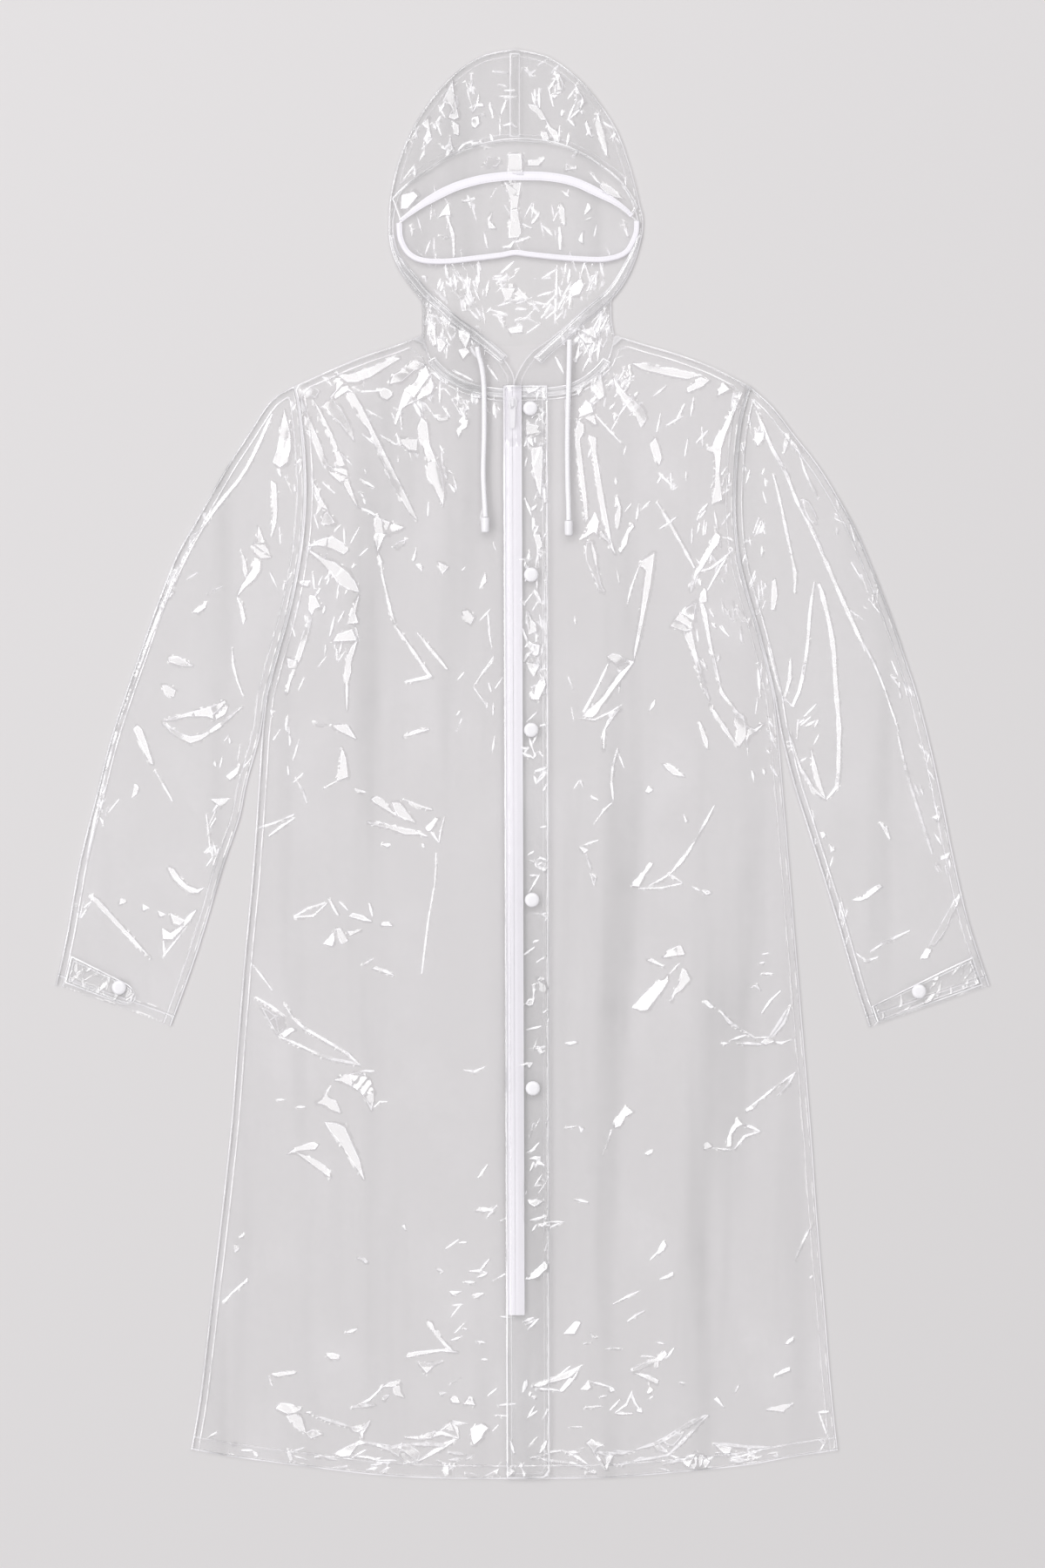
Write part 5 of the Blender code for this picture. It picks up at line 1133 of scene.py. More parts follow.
def turn_of(places, bulge, middle, low):
    """Rows of points down a fold, which bulges out in the middle, from the upper to the lower layer"""
    return np.dstack([places[None, :, 0] + np.array([[0.0], [1.0], [0.0]]) * bulge,
                      np.repeat(places[None, :, 1], 3, 0),
                      np.broadcast_to(np.array([[TOP_LEVEL], [middle], [low]]), (3, len(places)))])


SLEEVES["right"] = (Line(ARMHOLE_RIGHT), SLEEVE_RIGHT_OUT, SLEEVE_RIGHT_IN, -1, FOLDS_SLEEVE_RIGHT,
                    FACETS_SLEEVE_RIGHT, 21)
SLEEVES["left"] = (Line(ARMHOLE_LEFT), SLEEVE_LEFT_OUT, SLEEVE_LEFT_IN, 1, FOLDS_SLEEVE_LEFT,
                   FACETS_SLEEVE_LEFT, 22)
SLEEVE_LINES = {side: sleeve_lines(side) for side in SLEEVES}
for side, (armhole, out, inner, way, folds, rows, seed) in SLEEVES.items():
    facets = facets_of(rows) + sprinkled(*SPRINKLED_SLEEVE[side], seed=seed)
    seams = SLEEVE_LINES[side]

    def sleeve_level(x, y):
        cap, outer, under_arm, cuff = (line.distance(x, y) for line in seams)
        inward = np.minimum(outer, under_arm)
        quiet = rise(inward / SLEEVE_QUIET) * rise(cap / QUIET) * rise((cuff - 30) / 12)
        relief, ridge = faceted(x, y, facets)
        relief = relief + FOLD_SHOWN * folded(x, y, folds)
        calm = rise(inward / SLEEVE_CALM) * rise(cap / SLEEVE_CALM) * rise((cuff - 36) / SLEEVE_CALM)
        height = sleeve_plain(side, x, y) + quiet * relief + calm * np.clip(ripple(x, y, seed), -1.0, 1.6)
        seam = np.minimum(inward, cap)
        height += np.maximum(welds(seam, x, y, *SEAM_WELDS), welds(cuff, x, y, *HEM_WELDS))
        return height, marked(seam, quiet, ridge, cuff * 0.95 + 3.5)

    def sleeve_under(x, y):
        marks = sleeve_level(x, y)[1]
        return np.full_like(x, UNDER_LEVEL), {**marks, "ridge": np.full_like(x, NO_RIDGE)}

    cap, outer, under_arm, cuff = (stepped(line, 4) for line in seams)
    outline = np.vstack([cap[:-1], under_arm[:-1], cuff[::-1][:-1], outer[::-1][:-1]])
    turned = np.vstack([outer[::-1], cap[1:], under_arm[1:]])
    away = np.sign(turned[:, 0] - outline.mean(0)[0])
    sleeve = surface(
        "sleeve_%s_film" % side, sewn_film,
        film(outline, sleeve_level, GRAIN, facets, seed), film(outline, sleeve_under, 12.0),
        grid(turn_of(turned, 0.4 * away, 1.2, UNDER_LEVEL), edge=0.0, hem=30.0, ridge=NO_RIDGE))
    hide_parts("sleeve_" + side)

# ---------------------------------------------------------------------------------------
# Hood: two sides of film, each folded at the outline, joined down the crown under a tape and
# down the back, and opening at the face. The band and the peak are sewn on at the front.
# ---------------------------------------------------------------------------------------
HOOD_AIR_RUN = 32.0
HOOD_SEAM_X = -7.2
HOOD_RIGHT = (
    # fold_x, fold_y, edge_x, edge_y, seam_y
    (-97, 419, -9.5, 362, 408), (-97, 428, -8, 379, 418), (-97, 436, -22, 401, 428),
    (-97, 444, -44, 419, 438), (-98, 452, -68, 437, 449), (-103, 459, -91, 460, 461),
    (-113, 472, -106, 477, 476), (-122, 487, -116, 489, 490), (-127, 501, -122, 502, 504),
    (-130, 516, -125, 516, 518), (-130, 533, -125, 533, 531), (-129, 550, -119, 556, 542),
    (-125, 572, -108, 567, 552), (-118, 596, -93, 578, 562), (-107, 620, -76, 589, 572),
    (-91, 646, -57, 598, 583), (-68, 672, -36, 604, 591), (-40, 691, -21, 607, 599),
    (-7.2, 698, -7.2, 608, 606))
HOOD_LEFT = (
    (90, 419, -9.5, 362, 408), (88, 428, -6, 379, 418), (87, 436, 8, 401, 428),
    (87, 445, 32, 419, 438), (87, 453, 58, 442, 449), (92, 459, 84, 465, 461),
    (101, 472, 94, 477, 476), (108, 487, 102, 490, 490), (113, 502, 107, 503, 504),
    (117, 516, 111, 517, 518), (118, 532, 112, 532, 531), (114, 549, 104, 554, 542),
    (109, 570, 94, 569, 552), (102, 593, 79, 581, 562), (93, 617, 62, 592, 572),
    (77, 643, 43, 601, 583), (55, 669, 23, 606, 591), (26, 690, 6, 607, 599),
    (-7.2, 698, -7.2, 608, 606))
HOOD_QUIET, HOOD_CALM = 4.0, 24.0
REAR_LEVEL = 0.8         # the hood's rear layer
FOLDS_HOOD = (
    (-72, 665, -66, 622, 18, 3.2), (34, 674, 39, 650, 18, 2.8),
    (53, 661, 47, 631, 16, 3.2), (74, 631, 80, 602, 15, 2.8),
    (-46, 661, -44, 627, 16, 3.0), (-95, 627, -100, 606, 14, 2.6))
FACETS_HOOD = (
    (-68, 666, -66, 648, -62, 631, -66, 629, -71, 631, -70, 635, -67, 638, -70, 644, -77, 647),
    (-67, 627, -62, 623, -62, 614, -67, 615), (-70, 613, -68, 601, -72, 594, -74, 595),
    (-49, 640.5, -44.5, 644.5, -38.5, 644.5, -38, 642, -44.5, 642, -48, 636),
    (-49, 629.5, -43, 632, -42, 625, -45.5, 621, -49, 625), (-39.5, 634.5, -37, 633.5, -38, 631),
    (-97, 625, -92, 630, -89, 612, -92, 612, -93, 621), (2.5, -115, 608, -102, 612),
    (2.5, -87, 625, -84, 619), (2, -63, 598, -57, 605, -49, 608), (2, -80, 604, -75, 600),
    (32, 673, 36, 673, 40, 664, 39, 658, 34, 658, 35, 665), (2.5, 26, 658, 32, 668),
    (27.5, 653, 32, 650, 34.5, 653), (52, 663, 59, 650, 60, 645, 57, 640, 51, 638, 50, 640, 53, 648),
    (2, 45, 630, 51, 644), (2, 45, 629, 52, 635, 57, 640), (2, 45, 630, 51, 623),
    (74, 634, 82, 608, 83, 593, 79, 600, 77, 610, 73, 618, 71, 625), (63, 628, 68, 612, 64, 617, 62, 623),
    (2, 79, 626, 95, 618), (1.7, 85, 610, 95, 618),
    (6, 644, 14, 642, 19, 637, 23, 629, 19, 629, 14, 635, 8, 640),
    (24, 627, 28, 621, 34, 617, 36, 608, 31, 612, 26, 618), (18.5, 616, 24, 616.5, 27.5, 605.5, 21, 608),
    (48, 601, 65, 593, 73, 588, 68, 584, 51, 595), (73.5, 586, 81, 579.5, 77, 580), (2, -17, 651, -6, 651),
    (2.2, -18, 623, -10, 625, -5, 621), (2.5, 0, 680, 11, 671),
    (-49.5, 606.5, -42, 606.5, -44, 600.5, -49, 601.5), (-49.5, 598, -40.5, 596.5, -46.5, 593.5),
    (-89, 430, -85, 427, -84, 410, -87, 408, -90, 421),
    (-83.5, 414.5, -78.5, 415, -74.5, 410, -78.5, 404, -82, 407.5),
    (-60, 440, -51, 438, -50, 425, -51, 417, -55, 406, -60, 414, -62, 425, -58, 431),
    (-55, 406, -51.5, 402.5, -57.5, 395.5, -61.5, 404),
    (57, 423, 70, 426, 73, 414, 68, 411, 62, 411, 55, 419), (2.4, 77, 434, 70, 410, 65, 393, 59, 384),
    (2, 55, 419, 64, 402), (2.2, 33, 397, 41, 380), (2.2, -68, 385, -44, 372), (2, -34, 389, -23, 374))
# Highlights low in the face opening, on the back of the hood
FACETS_BEHIND = (
    (-21, 472, -19, 465, -8, 464, -4, 465, 6, 455, 0, 453, -17, 452, -17, 457, -20, 464),
    (-26, 441, -21, 439, -17, 427, -19, 427), (2.5, -62, 479, -53, 465, -45, 444, -39, 435),
    (2.2, -74, 470, -58, 452), (-98, 476, -94, 476, -93, 461, -96, 460),
    (47, 465, 56, 473, 60, 468, 56, 459, 49, 457), (2, 34, 487, 33, 457, 32, 430),
    (2.2, 42, 457, 34, 444, 23, 435), (-12, 426, 0, 428, 0, 422, -11, 421), (2, 4, 436, 17, 430, 5, 421),
    (-8, 383, 5, 385, 4, 381, -6, 380), (10, 451, 17.5, 441.5, 11.5, 446.5))
SPRINKLED_HOOD = (
    (-100, 600, -20, 660, 20, 95, 2.4), (5, 595, 85, 655, 20, 85, 2.4), (-118, 570, -90, 620, 10, 70, 2.0),
    (80, 560, 105, 610, 8, 110, 2.0), (-97, 392, -30, 445, 60, 110, 3.0), (40, 392, 90, 445, 60, 70, 3.0),
    (-40, 650, 40, 690, 8, 20, 1.6))
SPRINKLED_BEHIND = (
    (-95, 412, -35, 490, 54, 105, 2.4), (30, 415, 80, 490, 40, 80, 2.2), (-35, 415, 25, 480, 20, 20, 2.0),
    (-100, 495, 90, 560, 34, 92, 1.6))
hood_outline = Line([row[:2] for row in HOOD_RIGHT] + [row[:2] for row in reversed(HOOD_LEFT)][1:])


def hood_plain(x, y):
    """Height of the hood's upper layer without its folds, over the face opening too"""
    neck = np.where(x < HOOD_SEAM_X, neck_right.cross(x, 0), neck_left.cross(x, 0))
    far = hood_outline.distance(x, y)
    return TOP_LEVEL + AIR * rise(far / HOOD_AIR_RUN) * rise((y - neck) / HOOD_AIR_RUN)


hood_film = clear_film("clear film of the hood", (
    ("edge", 0.5, 0.9, 0.5, 0), ("edge", 1.8, 0.5, 0.10, 0.7), ("edge", 6.6, 0.6, 0.3, 0)), clear=0.958)
for side, rows, neck, way, seed in (
        ("right", HOOD_RIGHT, neck_right, -1, 31), ("left", HOOD_LEFT, neck_left, 1, 32)):
    sections = Line(rows).points
    fold, edge = Line(sections[:, 0:2]), Line(sections[:, 2:4])
    back_seam = Line(np.column_stack([np.full(len(sections), HOOD_SEAM_X), sections[:, 4]]))
    hood_seam = Line([sections[-1, 2:4], sections[-1, 0:2]])
    facets = facets_of(FACETS_HOOD) + sprinkled(*SPRINKLED_HOOD, seed=seed)
    behind = facets_of(FACETS_BEHIND) + sprinkled(*SPRINKLED_BEHIND, seed=seed)

    def hood_level(x, y):
        from_fold = fold.distance(x, y)
        inward = np.minimum(from_fold, edge.distance(x, y))
        quiet = rise(inward / HOOD_QUIET) * rise((neck.distance(x, y) - 4) / HOOD_QUIET)
        relief, ridge = faceted(x, y, facets)
        relief = relief + FOLD_SHOWN * folded(x, y, FOLDS_HOOD)
        height = hood_plain(x, y) + quiet * relief * off_cords(x, y) + welds(from_fold, x, y, 1.8)
        height += rise(inward / HOOD_CALM) * np.clip(ripple(x, y, seed, 0.8), -0.8, 1.2)
        return height, marked(inward, quiet, ridge)

    def rear_level(x, y):
        relief, ridge = faceted(x, y, behind)
        shown = rise(edge.distance(x, y) / 12) * rise((y - 410) / 8)
        return REAR_LEVEL + relief * 0.8 * shown, marked(np.full_like(x, 30.0), shown, ridge)

    front_side = np.vstack([stepped(neck, 4)[:-1], stepped(edge, 4)[:-1], stepped(hood_seam, 4)[:-1],
                            stepped(fold, 4)[::-1][:-1]])
    rear_side = np.vstack([stepped(fold, 5), stepped(back_seam, 5)[::-1][1:]])
    hood = surface(
        "hood_%s_film" % side, hood_film,
        film(front_side, hood_level, 3.0, facets, seed), film(rear_side, rear_level, 4.0, behind, seed),
        grid(turn_of(stepped(fold, 4), 0.35 * way, 1.4, REAR_LEVEL), edge=0.0, ridge=NO_RIDGE))
    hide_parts("hood_" + side)

# ---------------------------------------------------------------------------------------
# Band, peak and crown tape: strips of the same film. The band joins the crown to the peak,
# and the peak, a wide crescent, folds back over the face opening.
# ---------------------------------------------------------------------------------------
STRIP_FILM = 1.0
BAND_TOP = ((-127, 552), (-119, 561), (-106, 572), (-93, 581), (-76, 592), (-57, 601), (-36, 607),
            (-7, 611), (23, 609), (43, 604), (62, 595), (79, 584), (94, 572), (106, 557), (113, 544))
PEAK_SEAM = ((-119, 530), (-110, 537), (-93, 549), (-68, 562), (-42, 570), (-17, 573.5), (0, 574),
             (26, 573), (51, 568), (77, 556), (96, 545), (107, 535))
PEAK_EDGE = ((-120.5, 528), (-119, 512), (-111, 498), (-97, 491), (-74, 490), (-46, 493), (-21, 496),
             (-7, 498.5), (6, 497), (34, 494), (62, 492), (80, 492), (94, 495), (102.5, 500),
             (108, 508.5), (112, 519), (112.5, 530))
FACETS_BAND = (
    (-13, 595, -1, 595, 0, 577, -14, 577), (-117, 555, -106, 558, -102, 554, -112, 542, -118, 542),
    (77, 566, 87, 563, 98, 552, 89, 554, 80, 559), (-34, 593, -21, 589, -25, 583, -35, 584),
    (6, 589, 22, 591, 16, 584, 6, 584), (43, 586, 53, 581, 43, 579.5))
FACETS_PEAK = (
    (-17, 567, -1, 567, -5, 542, -1, 518, -4, 514, -13, 514, -11, 533, -11, 550),
    (2.5, -8, 510, -12, 505, -18, 504), (-72, 547, -70, 536, -76, 536, -82, 533),
    (3.4, -73, 535, -69, 523, -67, 512, -66, 497), (2.5, -53, 555, -50, 542),
    (-34, 532, -29, 538, -32, 530, -26, 523, -32, 523), (37, 547, 41, 542, 42, 527, 40, 527, 36, 538),
    (3.4, 37, 523, 37, 502), (61, 536, 64, 547, 66.5, 542), (55, 511.5, 59, 519, 59, 508),
    (2, 0, 527, 9, 523), (2.5, 99, 529, 103, 515), (2.5, -108, 525, -107, 516), (1.7, -37, 518, -34, 504),
    (1.7, 9, 542, 16, 535))
strip_film = clear_film("clear film of the peak", WELD[:1], crumple=0.10, mirrored=0.12)


def strip(name, near, far, along, across, level, finish):
    """A plain strip between two lines, at level(x, y, edge), marked with its edge and its run"""
    share = np.linspace(0, 1, along)
    start, end = near.at(share)[:, None, :2], far.at(share)[:, None, :2]
    s = np.linspace(0, 1, across)[None, :, None]
    flat = start + (end - start) * s
    wide = np.linalg.norm(end - start, axis=-1)
    edge = np.minimum(s[..., 0], 1 - s[..., 0]) * wide
    edge = np.minimum(edge, (np.minimum(share, 1 - share) * near.length)[:, None])
    points = np.dstack([flat, level(flat[..., 0], flat[..., 1], edge)])
    made = surface(name, finish, grid(points, edge=edge, run=(share * near.length)[:, None],
                                     ridge=NO_RIDGE))
    return made


def crumpled(name, near, far, level, facets, finish, spacing, seed):
    """A crumpled strip between two lines, at level(x, y, edge)"""
    outline = np.vstack([stepped(near, 3), stepped(far, 3)[::-1]])
    around = Line([*outline, outline[0]])

    def height(x, y):
        edge = around.distance(x, y)
        relief, ridge = faceted(x, y, facets)
        free = rise((edge - 0.3) / 1.4)
        return (level(x, y, edge) + free * relief + welds(edge, x, y, 1.8),
                {"edge": np.clip(edge, 0, 30), "ridge": np.where(free > 0.4, ridge, NO_RIDGE)})

    made = surface(name, finish, film(outline, height, spacing, facets, seed))
    return made


def on_hood(x, y, edge):
    """The top of a strip that lies on the hood"""
    return hood_plain(x, y) + STRIP_FILM + SEAM_GAP + rise(edge / 5) * np.clip(
        ripple(x, y, 41, 0.5), -0.4, 0.8)


band = crumpled("hood_band_film", Line(BAND_TOP), Line(PEAK_SEAM), on_hood,
                facets_of(FACETS_BAND, 0.8, 41), strip_film, 3.0, 41)
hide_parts("hood_band")
peak = crumpled("peak_film", Line(PEAK_SEAM), Line(PEAK_EDGE), on_hood,
                facets_of(FACETS_PEAK, 0.6, 42), strip_film, 3.0, 42)
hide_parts("peak")
crown = strip("crown_tape_film", Line(((HOOD_SEAM_X - 5, 694), (HOOD_SEAM_X - 5, 612))),
              Line(((HOOD_SEAM_X + 5, 694), (HOOD_SEAM_X + 5, 612))), 40, 8, on_hood, strip_film)
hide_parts("crown_tape")

# ---------------------------------------------------------------------------------------
# Bindings: soft white tape, one flat over the seam of band and peak, one folded round the
# peak's free edge, both sewn with a row of small stitches.
# ---------------------------------------------------------------------------------------
EDGE_BINDING = (3.2, -2.2, 1.1)      # reach onto the peak, reach past its edge, half height
TRIM_SHADOW = 0.45


def lighter_shade(finish, shader):
    """The shader, letting some of the lamps' light through as thin white tape does"""
    return finish.mix(1 - finish.ray("Is Shadow Ray") * (1 - TRIM_SHADOW), finish.clear(), shader)


tape = Finish("white binding tape")
weave = tape.noise(1500, 2.0)
row = tape.mark("edge").line(1.5, 0.35)
dashes = tape.mark("run").math("WRAP", 3.0, 0.0).line(1.2, 0.9)
stitched = row * dashes
softness = tape.noise(90, 2.0)
binding_tape = tape.show(lighter_shade(tape, tape.solid(
    tape.blend(stitched * 0.4 + softness * 0.3, (0.91, 0.89, 0.94), (0.79, 0.77, 0.83)), 0.42,
    tape.bump(weave * 0.3 - stitched * 1.0, 0.25), coat=0.15)))

seam = Line(PEAK_SEAM)
share = np.linspace(0, 1, 160)
half = 2.0 + 2.3 * rise(np.minimum(share, 1 - share) * 5)
rounded = np.linspace(-1, 1, 9)
flat = seam.at(share)[:, None] + seam.side(share)[:, None] * (half[:, None] * rounded)[..., None]
dome = 0.3 * (1 - rounded ** 2) + 1.7
points = np.dstack([flat, hood_plain(flat[..., 0], flat[..., 1]) + dome])
upper_binding = surface("peak_seam_tape", binding_tape, grid(
    points, edge=(1 - np.abs(rounded)) * half[:, None], run=(share * seam.length)[:, None]))
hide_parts("peak_seam_binding")

edge = Line(PEAK_EDGE)
share = np.linspace(0, 1, 170)
inner, outer, tall = EDGE_BINDING
shape = ((inner, tall + 0.25), (inner - 1.6, tall + 0.55), (0.6, tall + 0.65), (-1.2, tall + 0.4),
         (outer + 0.3, 0.8), (outer, 0.0), (outer + 0.3, -0.7), (-1.2, -tall - 0.2),
         (0.6, -tall - 0.4), (inner, -tall - 0.1))
offs, rises = np.array(shape).T
flat = edge.at(share)[:, None] + edge.side(share)[:, None] * offs[None, :, None]
middle = hood_plain(*edge.at(share).T)[:, None] + SEAM_GAP + STRIP_FILM / 2
points = np.dstack([flat, middle + rises])
lower_binding = surface("peak_edge_tape", binding_tape, grid(
    points, edge=np.abs(offs - inner)[None], run=(share * edge.length)[:, None]))
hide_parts("peak_edge_binding")

# ---------------------------------------------------------------------------------------
# Casings and neck bands: the casings are narrow tunnels of doubled film along the face
# opening, which the drawcords run in. The neck bands are flat strips over the neck seam.
# ---------------------------------------------------------------------------------------
CASING_TALL = 1.6
NECK_BAND_HALF = 4.4
CASING_RIGHT_OUT = ((-130, 516), (-127, 500), (-119, 482), (-108, 468), (-96, 454), (-82, 442),
                    (-67, 428), (-51, 415), (-35, 403), (-20, 391))
CASING_RIGHT_IN = ((-125, 516), (-121, 501), (-112, 487), (-102, 475), (-91, 462), (-77, 449),
                   (-62, 436), (-45, 424), (-30, 412), (-14, 398))
CASING_LEFT_OUT = ((117, 516), (112, 496), (106, 481), (97, 465), (87, 453), (77, 443), (60, 429),
                   (47, 416), (34, 405), (19, 391))
CASING_LEFT_IN = ((111, 517), (106, 501), (98, 486), (89, 471), (79, 459), (68, 450), (51, 435),
                  (39, 423), (26, 411), (11, 397))
doubled_film = clear_film("doubled film", (("edge", 0.4, 0.9, 0.5, 0), ("edge", 2.4, 0.5, 0.35, 0)),
                          cloud=0.24, crumple=0.10, patches=160.0)


def tunnel(x, y, edge):
    return hood_plain(x, y) + SEAM_GAP + 0.3 + CASING_TALL * rise(edge / 3.5) + welds(edge, x, y, 1.3)


def over_neck(x, y, edge):
    return (np.maximum(body_plain(x, y), hood_plain(x, y)) + SEAM_GAP + STRIP_FILM
            + welds(edge, x, y, 1.1, half=1.1))


for side, out, within, neck, start in (
        ("right", CASING_RIGHT_OUT, CASING_RIGHT_IN, neck_right, 0.22),
        ("left", CASING_LEFT_OUT, CASING_LEFT_IN, neck_left, 0.2)):
    casing = strip("casing_%s_film" % side, Line(out), Line(within), 130, 13, tunnel, doubled_film)
    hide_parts("casing_" + side)
    share = np.linspace(start, 0.985, 40)
    near, far = (Line(neck.at(share) + neck.side(share) * off)
                 for off in (NECK_BAND_HALF, -NECK_BAND_HALF))
    neck_band = strip("neck_band_%s_film" % side, near, far, 90, 9, over_neck, doubled_film)
    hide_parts("neck_band_" + side)
    [casing] + [crown] * (side == "right")

# ---------------------------------------------------------------------------------------
# Zip: a moulded coil zip on two woven white tapes, closed to the top, with its slider and
# pull at the neck. It ends above the hem, where the flap alone closes the front.
# ---------------------------------------------------------------------------------------
TAPE_TOP, TAPE_HALF = 5.0, 9.0
ZIP_TOP_Y, COIL_TOP_Y, ZIP_END_Y = 369.0, 346.0, -537.0
TOOTH_PITCH, TOOTH_THICK, TOOTH_TOP = 1.5, 0.42, 6.3
TOOTH_REACH, TOOTH_OFF, TOOTH_ARCH, TOOTH_TAPER = 1.5, 0.8, 0.55, 0.25
woven = Finish("woven zip tape")
twill = woven.number("ShaderNodeTexWave", {"bands_direction": "DIAGONAL"}, {
    "Vector": woven.place, "Scale": 420.0, "Distortion": 0.6}, "Fac")
thread = woven.noise(1200, 2.0)
zip_tape = woven.show(woven.solid(woven.blend(twill, (0.90, 0.88, 0.93), (0.93, 0.91, 0.96)), 0.7,
                                  woven.bump(twill * 0.7 + thread * 0.3, 0.2)))
for side, way in (("right", -1), ("left", 1)):
    ends = [zip_line.cross(level_y, 1) for level_y in (ZIP_TOP_Y, ZIP_END_Y)]
    near, far = (Line([(ends[0] + way * off, ZIP_TOP_Y), (ends[1] + way * off, ZIP_END_Y)])
                 for off in (0.15, TAPE_HALF))
    piece = strip("zip_tape_%s_woven" % side, near, far, 120, 8,
                  lambda x, y, edge: TAPE_TOP + 1.5 * rise((9 - np.abs(x - zip_line.cross(y, 1))) / 7),
                  zip_tape)
    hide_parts("zip_tape_" + side)

count = int((COIL_TOP_Y - ZIP_END_Y - 4) / TOOTH_PITCH)
number = np.arange(count)
tooth_y = COIL_TOP_Y - 0.8 - number * TOOTH_PITCH
hand = np.where(number % 2, 1.0, -1.0)
arch = np.linspace(-1, 1, 6)
spin = np.linspace(0, 2 * math.pi, 7)[:-1]
centre_x = zip_line.cross(tooth_y, 1)[:, None] + hand[:, None] * (arch * TOOTH_REACH + TOOTH_OFF)
centre_z = TOOTH_TOP - TOOTH_THICK - TOOTH_ARCH * (arch ** 2)[None] + 0 * centre_x
ring = np.stack([np.broadcast_to(centre_x[..., None], (count, 6, 6)),
                 tooth_y[:, None, None] + TOOTH_THICK * np.cos(spin)[None, None]
                 * (1 - TOOTH_TAPER * arch ** 2)[None, :, None],
                 centre_z[..., None] + TOOTH_THICK * np.sin(spin)[None, None]], -1)
one = np.arange(36).reshape(6, 6)
wrap = np.hstack([one, one[:, :1]])
quads = np.stack([wrap[:-1, :-1], wrap[:-1, 1:], wrap[1:, 1:], wrap[1:, :-1]], -1).reshape(-1, 4)
faces = (quads[None] + 36 * number[:, None, None]).reshape(-1, 4).tolist()
for cap in (one[0][::-1], one[-1]):
    faces += (cap[None] + 36 * number[:, None]).tolist()
data = bpy.data.meshes.new("zip_teeth")
data.from_pydata((ring.reshape(-1, 3) * MM).tolist(), [], faces)
data.shade_smooth()
teeth = link("zip_teeth", data, moulded_plastic)
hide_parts("zip_coil")
for name in ("zip_slider", "zip_pull"):
    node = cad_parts[name]
    node.data.materials.clear()
    node.data.materials.append(moulded_plastic)

# ---------------------------------------------------------------------------------------
# Storm flap: a strip of film sewn along the right edge of the zip and snapped down on the
# left front. It rides over the zip, and is the most crumpled piece of the coat.
# ---------------------------------------------------------------------------------------
FLAP_ROOT = ((-19, 370), (-15.5, -697))
FLAP_FREE = ((25.5, 370), (27.5, -696.5))
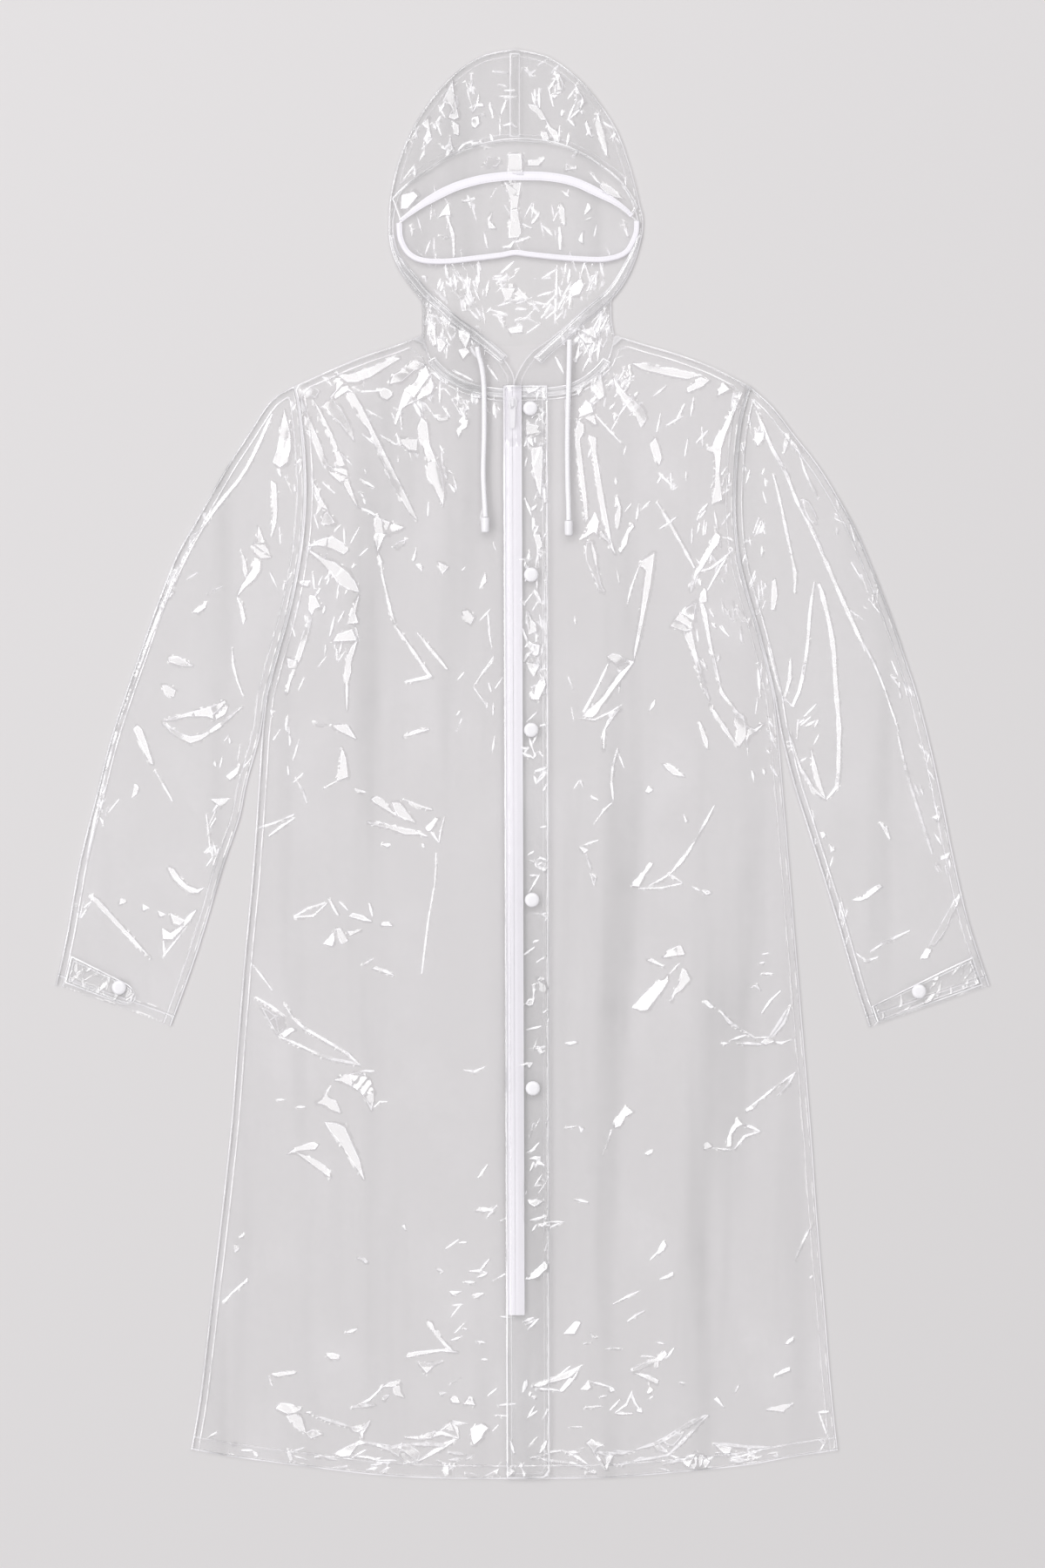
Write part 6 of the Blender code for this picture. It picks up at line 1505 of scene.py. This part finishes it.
# Where the storm flap runs over the zip: distance from the zip's line, height of the flap
FLAP_OVER_ZIP = ((-9.6, 4.7), (-5.5, 5.6), (-3.0, 6.1), (0.0, 6.2), (3.0, 6.1), (5.5, 5.7), (9.6, 4.9),
                 (17.0, 4.2))
FLAP_OVER_SLIDER, SLIDER_Y, SLIDER_RUN, SLIDER_EASE = 4.4, 352.6, 44, 14
ZIP_END_RUN, ZIP_END_EASE = 38, 34       # where the flap comes down again below the zip
SNAP_CLEAR = 8           # no low waves so near a snap
FRONT_SNAPS = ((8.1, 347.2), (8.9, 184.9), (8.9, 33.6), (9.8, -132.2), (10.6, -315.8))
FACETS_FLAP = (
    (3, 367, 10, 370, 18, 368, 12, 364, 6, 362), (19, 367.5, 24, 367.5, 24, 357.5, 20, 359),
    (4, 334, 7, 332, 13, 331, 19, 323, 9, 319, 11, 310, 6, 315, 4, 328),
    (9, 306, 13, 309, 19, 310, 20, 304, 18, 261, 15, 270, 12, 281), (2, 23, 317, 24, 283),
    (20, 267, 23, 270, 24, 256, 22, 255), (1.9, 15, 342, 19, 337), (1.9, 15, 349, 22, 343),
    (1.9, 17, 338, 23, 331), (1.9, 24, 353, 26, 336), (2, 3, 259, 9, 243),
    (10, 240, 12.5, 238.5, 12.5, 233.5, 10, 228), (11, 223, 17, 224, 19, 216, 19, 212, 16, 210),
    (15, 206, 20, 204.5, 18.5, 202), (2, 7, 208, 6, 198), (11, 170, 15, 168, 18, 161, 19, 157, 16, 159),
    (2.2, 23, 193, 23, 151), (6, 149, 9, 141, 13, 137, 14, 130, 7, 127, 5, 141),
    (2.5, 2, 100, 6, 108, 11, 112), (6, 116, 10, 118, 17, 116, 16, 108, 12, 104),
    (6, 99, 17, 97, 11, 86, 6, 95), (22, 83, 23, 78, 16, 63, 9, 64, 8, 71, 12, 68, 13, 76),
    (2.2, 23, 151, 24, 69), (1.7, 17, 146, 19, 134), (1.9, 0, 16, 6, 15), (2.2, 1, 11, 11, 6),
    (1.9, 11, 13, 13, 10, 11, 6), (1.9, 16, 13, 20, 8), (11.5, -11.5, 14, -14, 14, -18.5, 12.5, -16.5),
    (1.7, 6, -88, 11, -85), (1.9, 13, -94, 17, -91, 23, -93), (1.9, 15, -98, 19, -96),
    (1.7, 8, -108, 14, -108), (15, -209.5, 18.5, -213, 26, -217, 22.5, -221.5, 18.5, -221.5),
    (2.2, 13, -213, 11, -223, 11, -228), (4, -233.5, 6.5, -229, 11.5, -230, 10.5, -234, 7, -235),
    (15, -279, 17.5, -276, 20, -281), (4.5, -290.5, 10.5, -291, 7, -295.5), (1.9, 8, -396, 11, -388),
    (2.2, 12, -411, 20, -399), (23, -396, 27, -398, 27, -408, 24, -403), (2, 12, -411, 20, -410),
    (6, -425, 12, -424, 20, -426, 12, -431, 7, -428),
    (18.5, -450, 21.5, -446, 27, -446, 27, -451, 20, -451),
    (6, -502, 11, -495, 22, -485, 27, -487, 27, -490, 22, -493, 16, -499, 12, -501),
    (11, -606, 17, -602, 27, -600, 27, -603, 17, -607), (2.2, 14, -608, 27, -610),
    (6.5, -614, 9, -612.5, 8, -616), (10.5, -616.5, 13, -617.5, 11.5, -619),
    (2.4, 8, -676, 17, -675, 27, -672), (2.5, 17, -676, 27, -680), (-14, -684.5, -7, -689, -14, -695),
    (0.5, -688, 3, -692.5, 1.5, -695), (1.9, -11, -661, -8, -671), (1.7, 4, -546, 11, -542))
flap_film = clear_film("crumpled film of the flap", (
    ("edge", 1.3, 0.9, 0.8, 0), ("edge", 2.8, 0.5, 0.1, 0.7), ("edge", 5.6, 0.6, 0.4, 0)),
    cloud=0.08, crumple=0.12, patches=90.0)


def flap_plain(x, y):
    """Top of the flap: over the zip and its slider, then down onto the left front"""
    base = body_plain(x, y) + SEAM_GAP
    offset = x - zip_line.cross(y, 1)
    raised = np.interp(offset, *np.array(FLAP_OVER_ZIP).T)
    over_slider = rise((y - SLIDER_Y + SLIDER_RUN) / SLIDER_EASE) * rise((9 - np.abs(offset)) / 5)
    raised = raised + FLAP_OVER_SLIDER * over_slider
    over_zip = rise((y - ZIP_END_Y + ZIP_END_RUN) / ZIP_END_EASE)
    return np.maximum(base, base + (raised - base) * over_zip) + STRIP_FILM


def flap_level(x, y, edge):
    snaps = np.min([np.hypot(x - sx, y - sy) for sx, sy in FRONT_SNAPS], axis=0)
    free = rise(edge / 3) * rise((snaps - SNAP_CLEAR) / 5)
    return flap_plain(x, y) + free * np.clip(ripple(x * 3, y * 3, 51, 0.22), -0.4, 1.0)


flap = crumpled("storm_flap_film", Line(FLAP_ROOT), Line(FLAP_FREE), flap_level,
                facets_of(FACETS_FLAP, 0.5, 51) + sprinkled(
                    (2, 65, 24, 366, 44, 85, 1.7), (2, -690, 26, 60, 44, 40, 1.7), seed=51),
                flap_film, 2.4, 51)
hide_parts("storm_flap")

# ---------------------------------------------------------------------------------------
# Cuff pieces: a rounded tab at the right cuff and a band across the left one, both of film
# and both held by a snap. The snaps of cuffs and flap are the same moulded white caps.
# ---------------------------------------------------------------------------------------
CUFF_TAB = (8, 78, 5, 33)            # reach along the cuff, then up the sleeve
CUFF_BAND = (6, 115, 3, 33)
CUFF_ROWS, CUFF_COLUMNS, CUFF_WELD = 130, 38, 1.65
CUFF_CREASES = (80, 60, 5.5)         # how many, their way in degrees, and the widest
cuff_film = clear_film("clear film of the cuff pieces", (
    ("edge", 0.6, 1.0, 0.9, 0), ("edge", 2.0, 0.6, 0.2, 0.9), ("edge", 3.6, 0.7, 0.7, 0)), crumple=0.10)
for side, (start, end, low, high), name in (
        ("right", CUFF_TAB, "cuff_tab_right"), ("left", CUFF_BAND, "cuff_band_left")):
    ends, length = sleeve_points(side, np.array([0.0, 1.0]), np.array([1.0]))
    wide = np.linalg.norm(ends[0, 1] - ends[0, 0])
    reach = np.linspace(start, end, CUFF_ROWS)
    half = (high - low) / 2
    past = np.clip(reach - end + half, 0, half) / half if side == "right" else 0 * reach
    span = half * np.sqrt(np.clip(1 - past ** 2, 0.02, 1))
    across = np.linspace(-1, 1, CUFF_COLUMNS)
    spots = []
    for at, tall in zip(reach, span):
        up = (low + high) / 2 + across * tall
        v = 1 - up[::-1] / length
        place = sleeve_points(side, np.array([at / wide]), v)[0][:, 0]
        spots.append(np.column_stack([place, sleeve_plain(side, *place.T) + SEAM_GAP + STRIP_FILM]))
    points = np.array(spots)
    edge = np.minimum((1 - np.abs(across))[None] * span[:, None],
                      np.minimum(reach - start, end - reach)[:, None])
    x, y = points[..., 0], points[..., 1]
    points[..., 2] += rise(edge / 4) * np.clip(ripple(x * 2, y * 2, 61, 0.3), -0.2, 0.6)
    creases = sprinkled((x.min(), y.min(), x.max(), y.max(), *CUFF_CREASES), seed=62)
    relief = faceted(x.ravel(), y.ravel(), creases)[0].reshape(x.shape)
    points[..., 2] += rise((edge - 1) / 2) * relief + welds(edge, x, y, CUFF_WELD, half=CUFF_WELD)
    piece = surface(name + "_film", cuff_film, grid(points, edge=edge, ridge=NO_RIDGE))
    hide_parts(name)
    "sleeve_" + side

for name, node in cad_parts.items():
    if "snap" in name:
        node.data.materials.clear()
        node.data.materials.append(moulded_plastic)
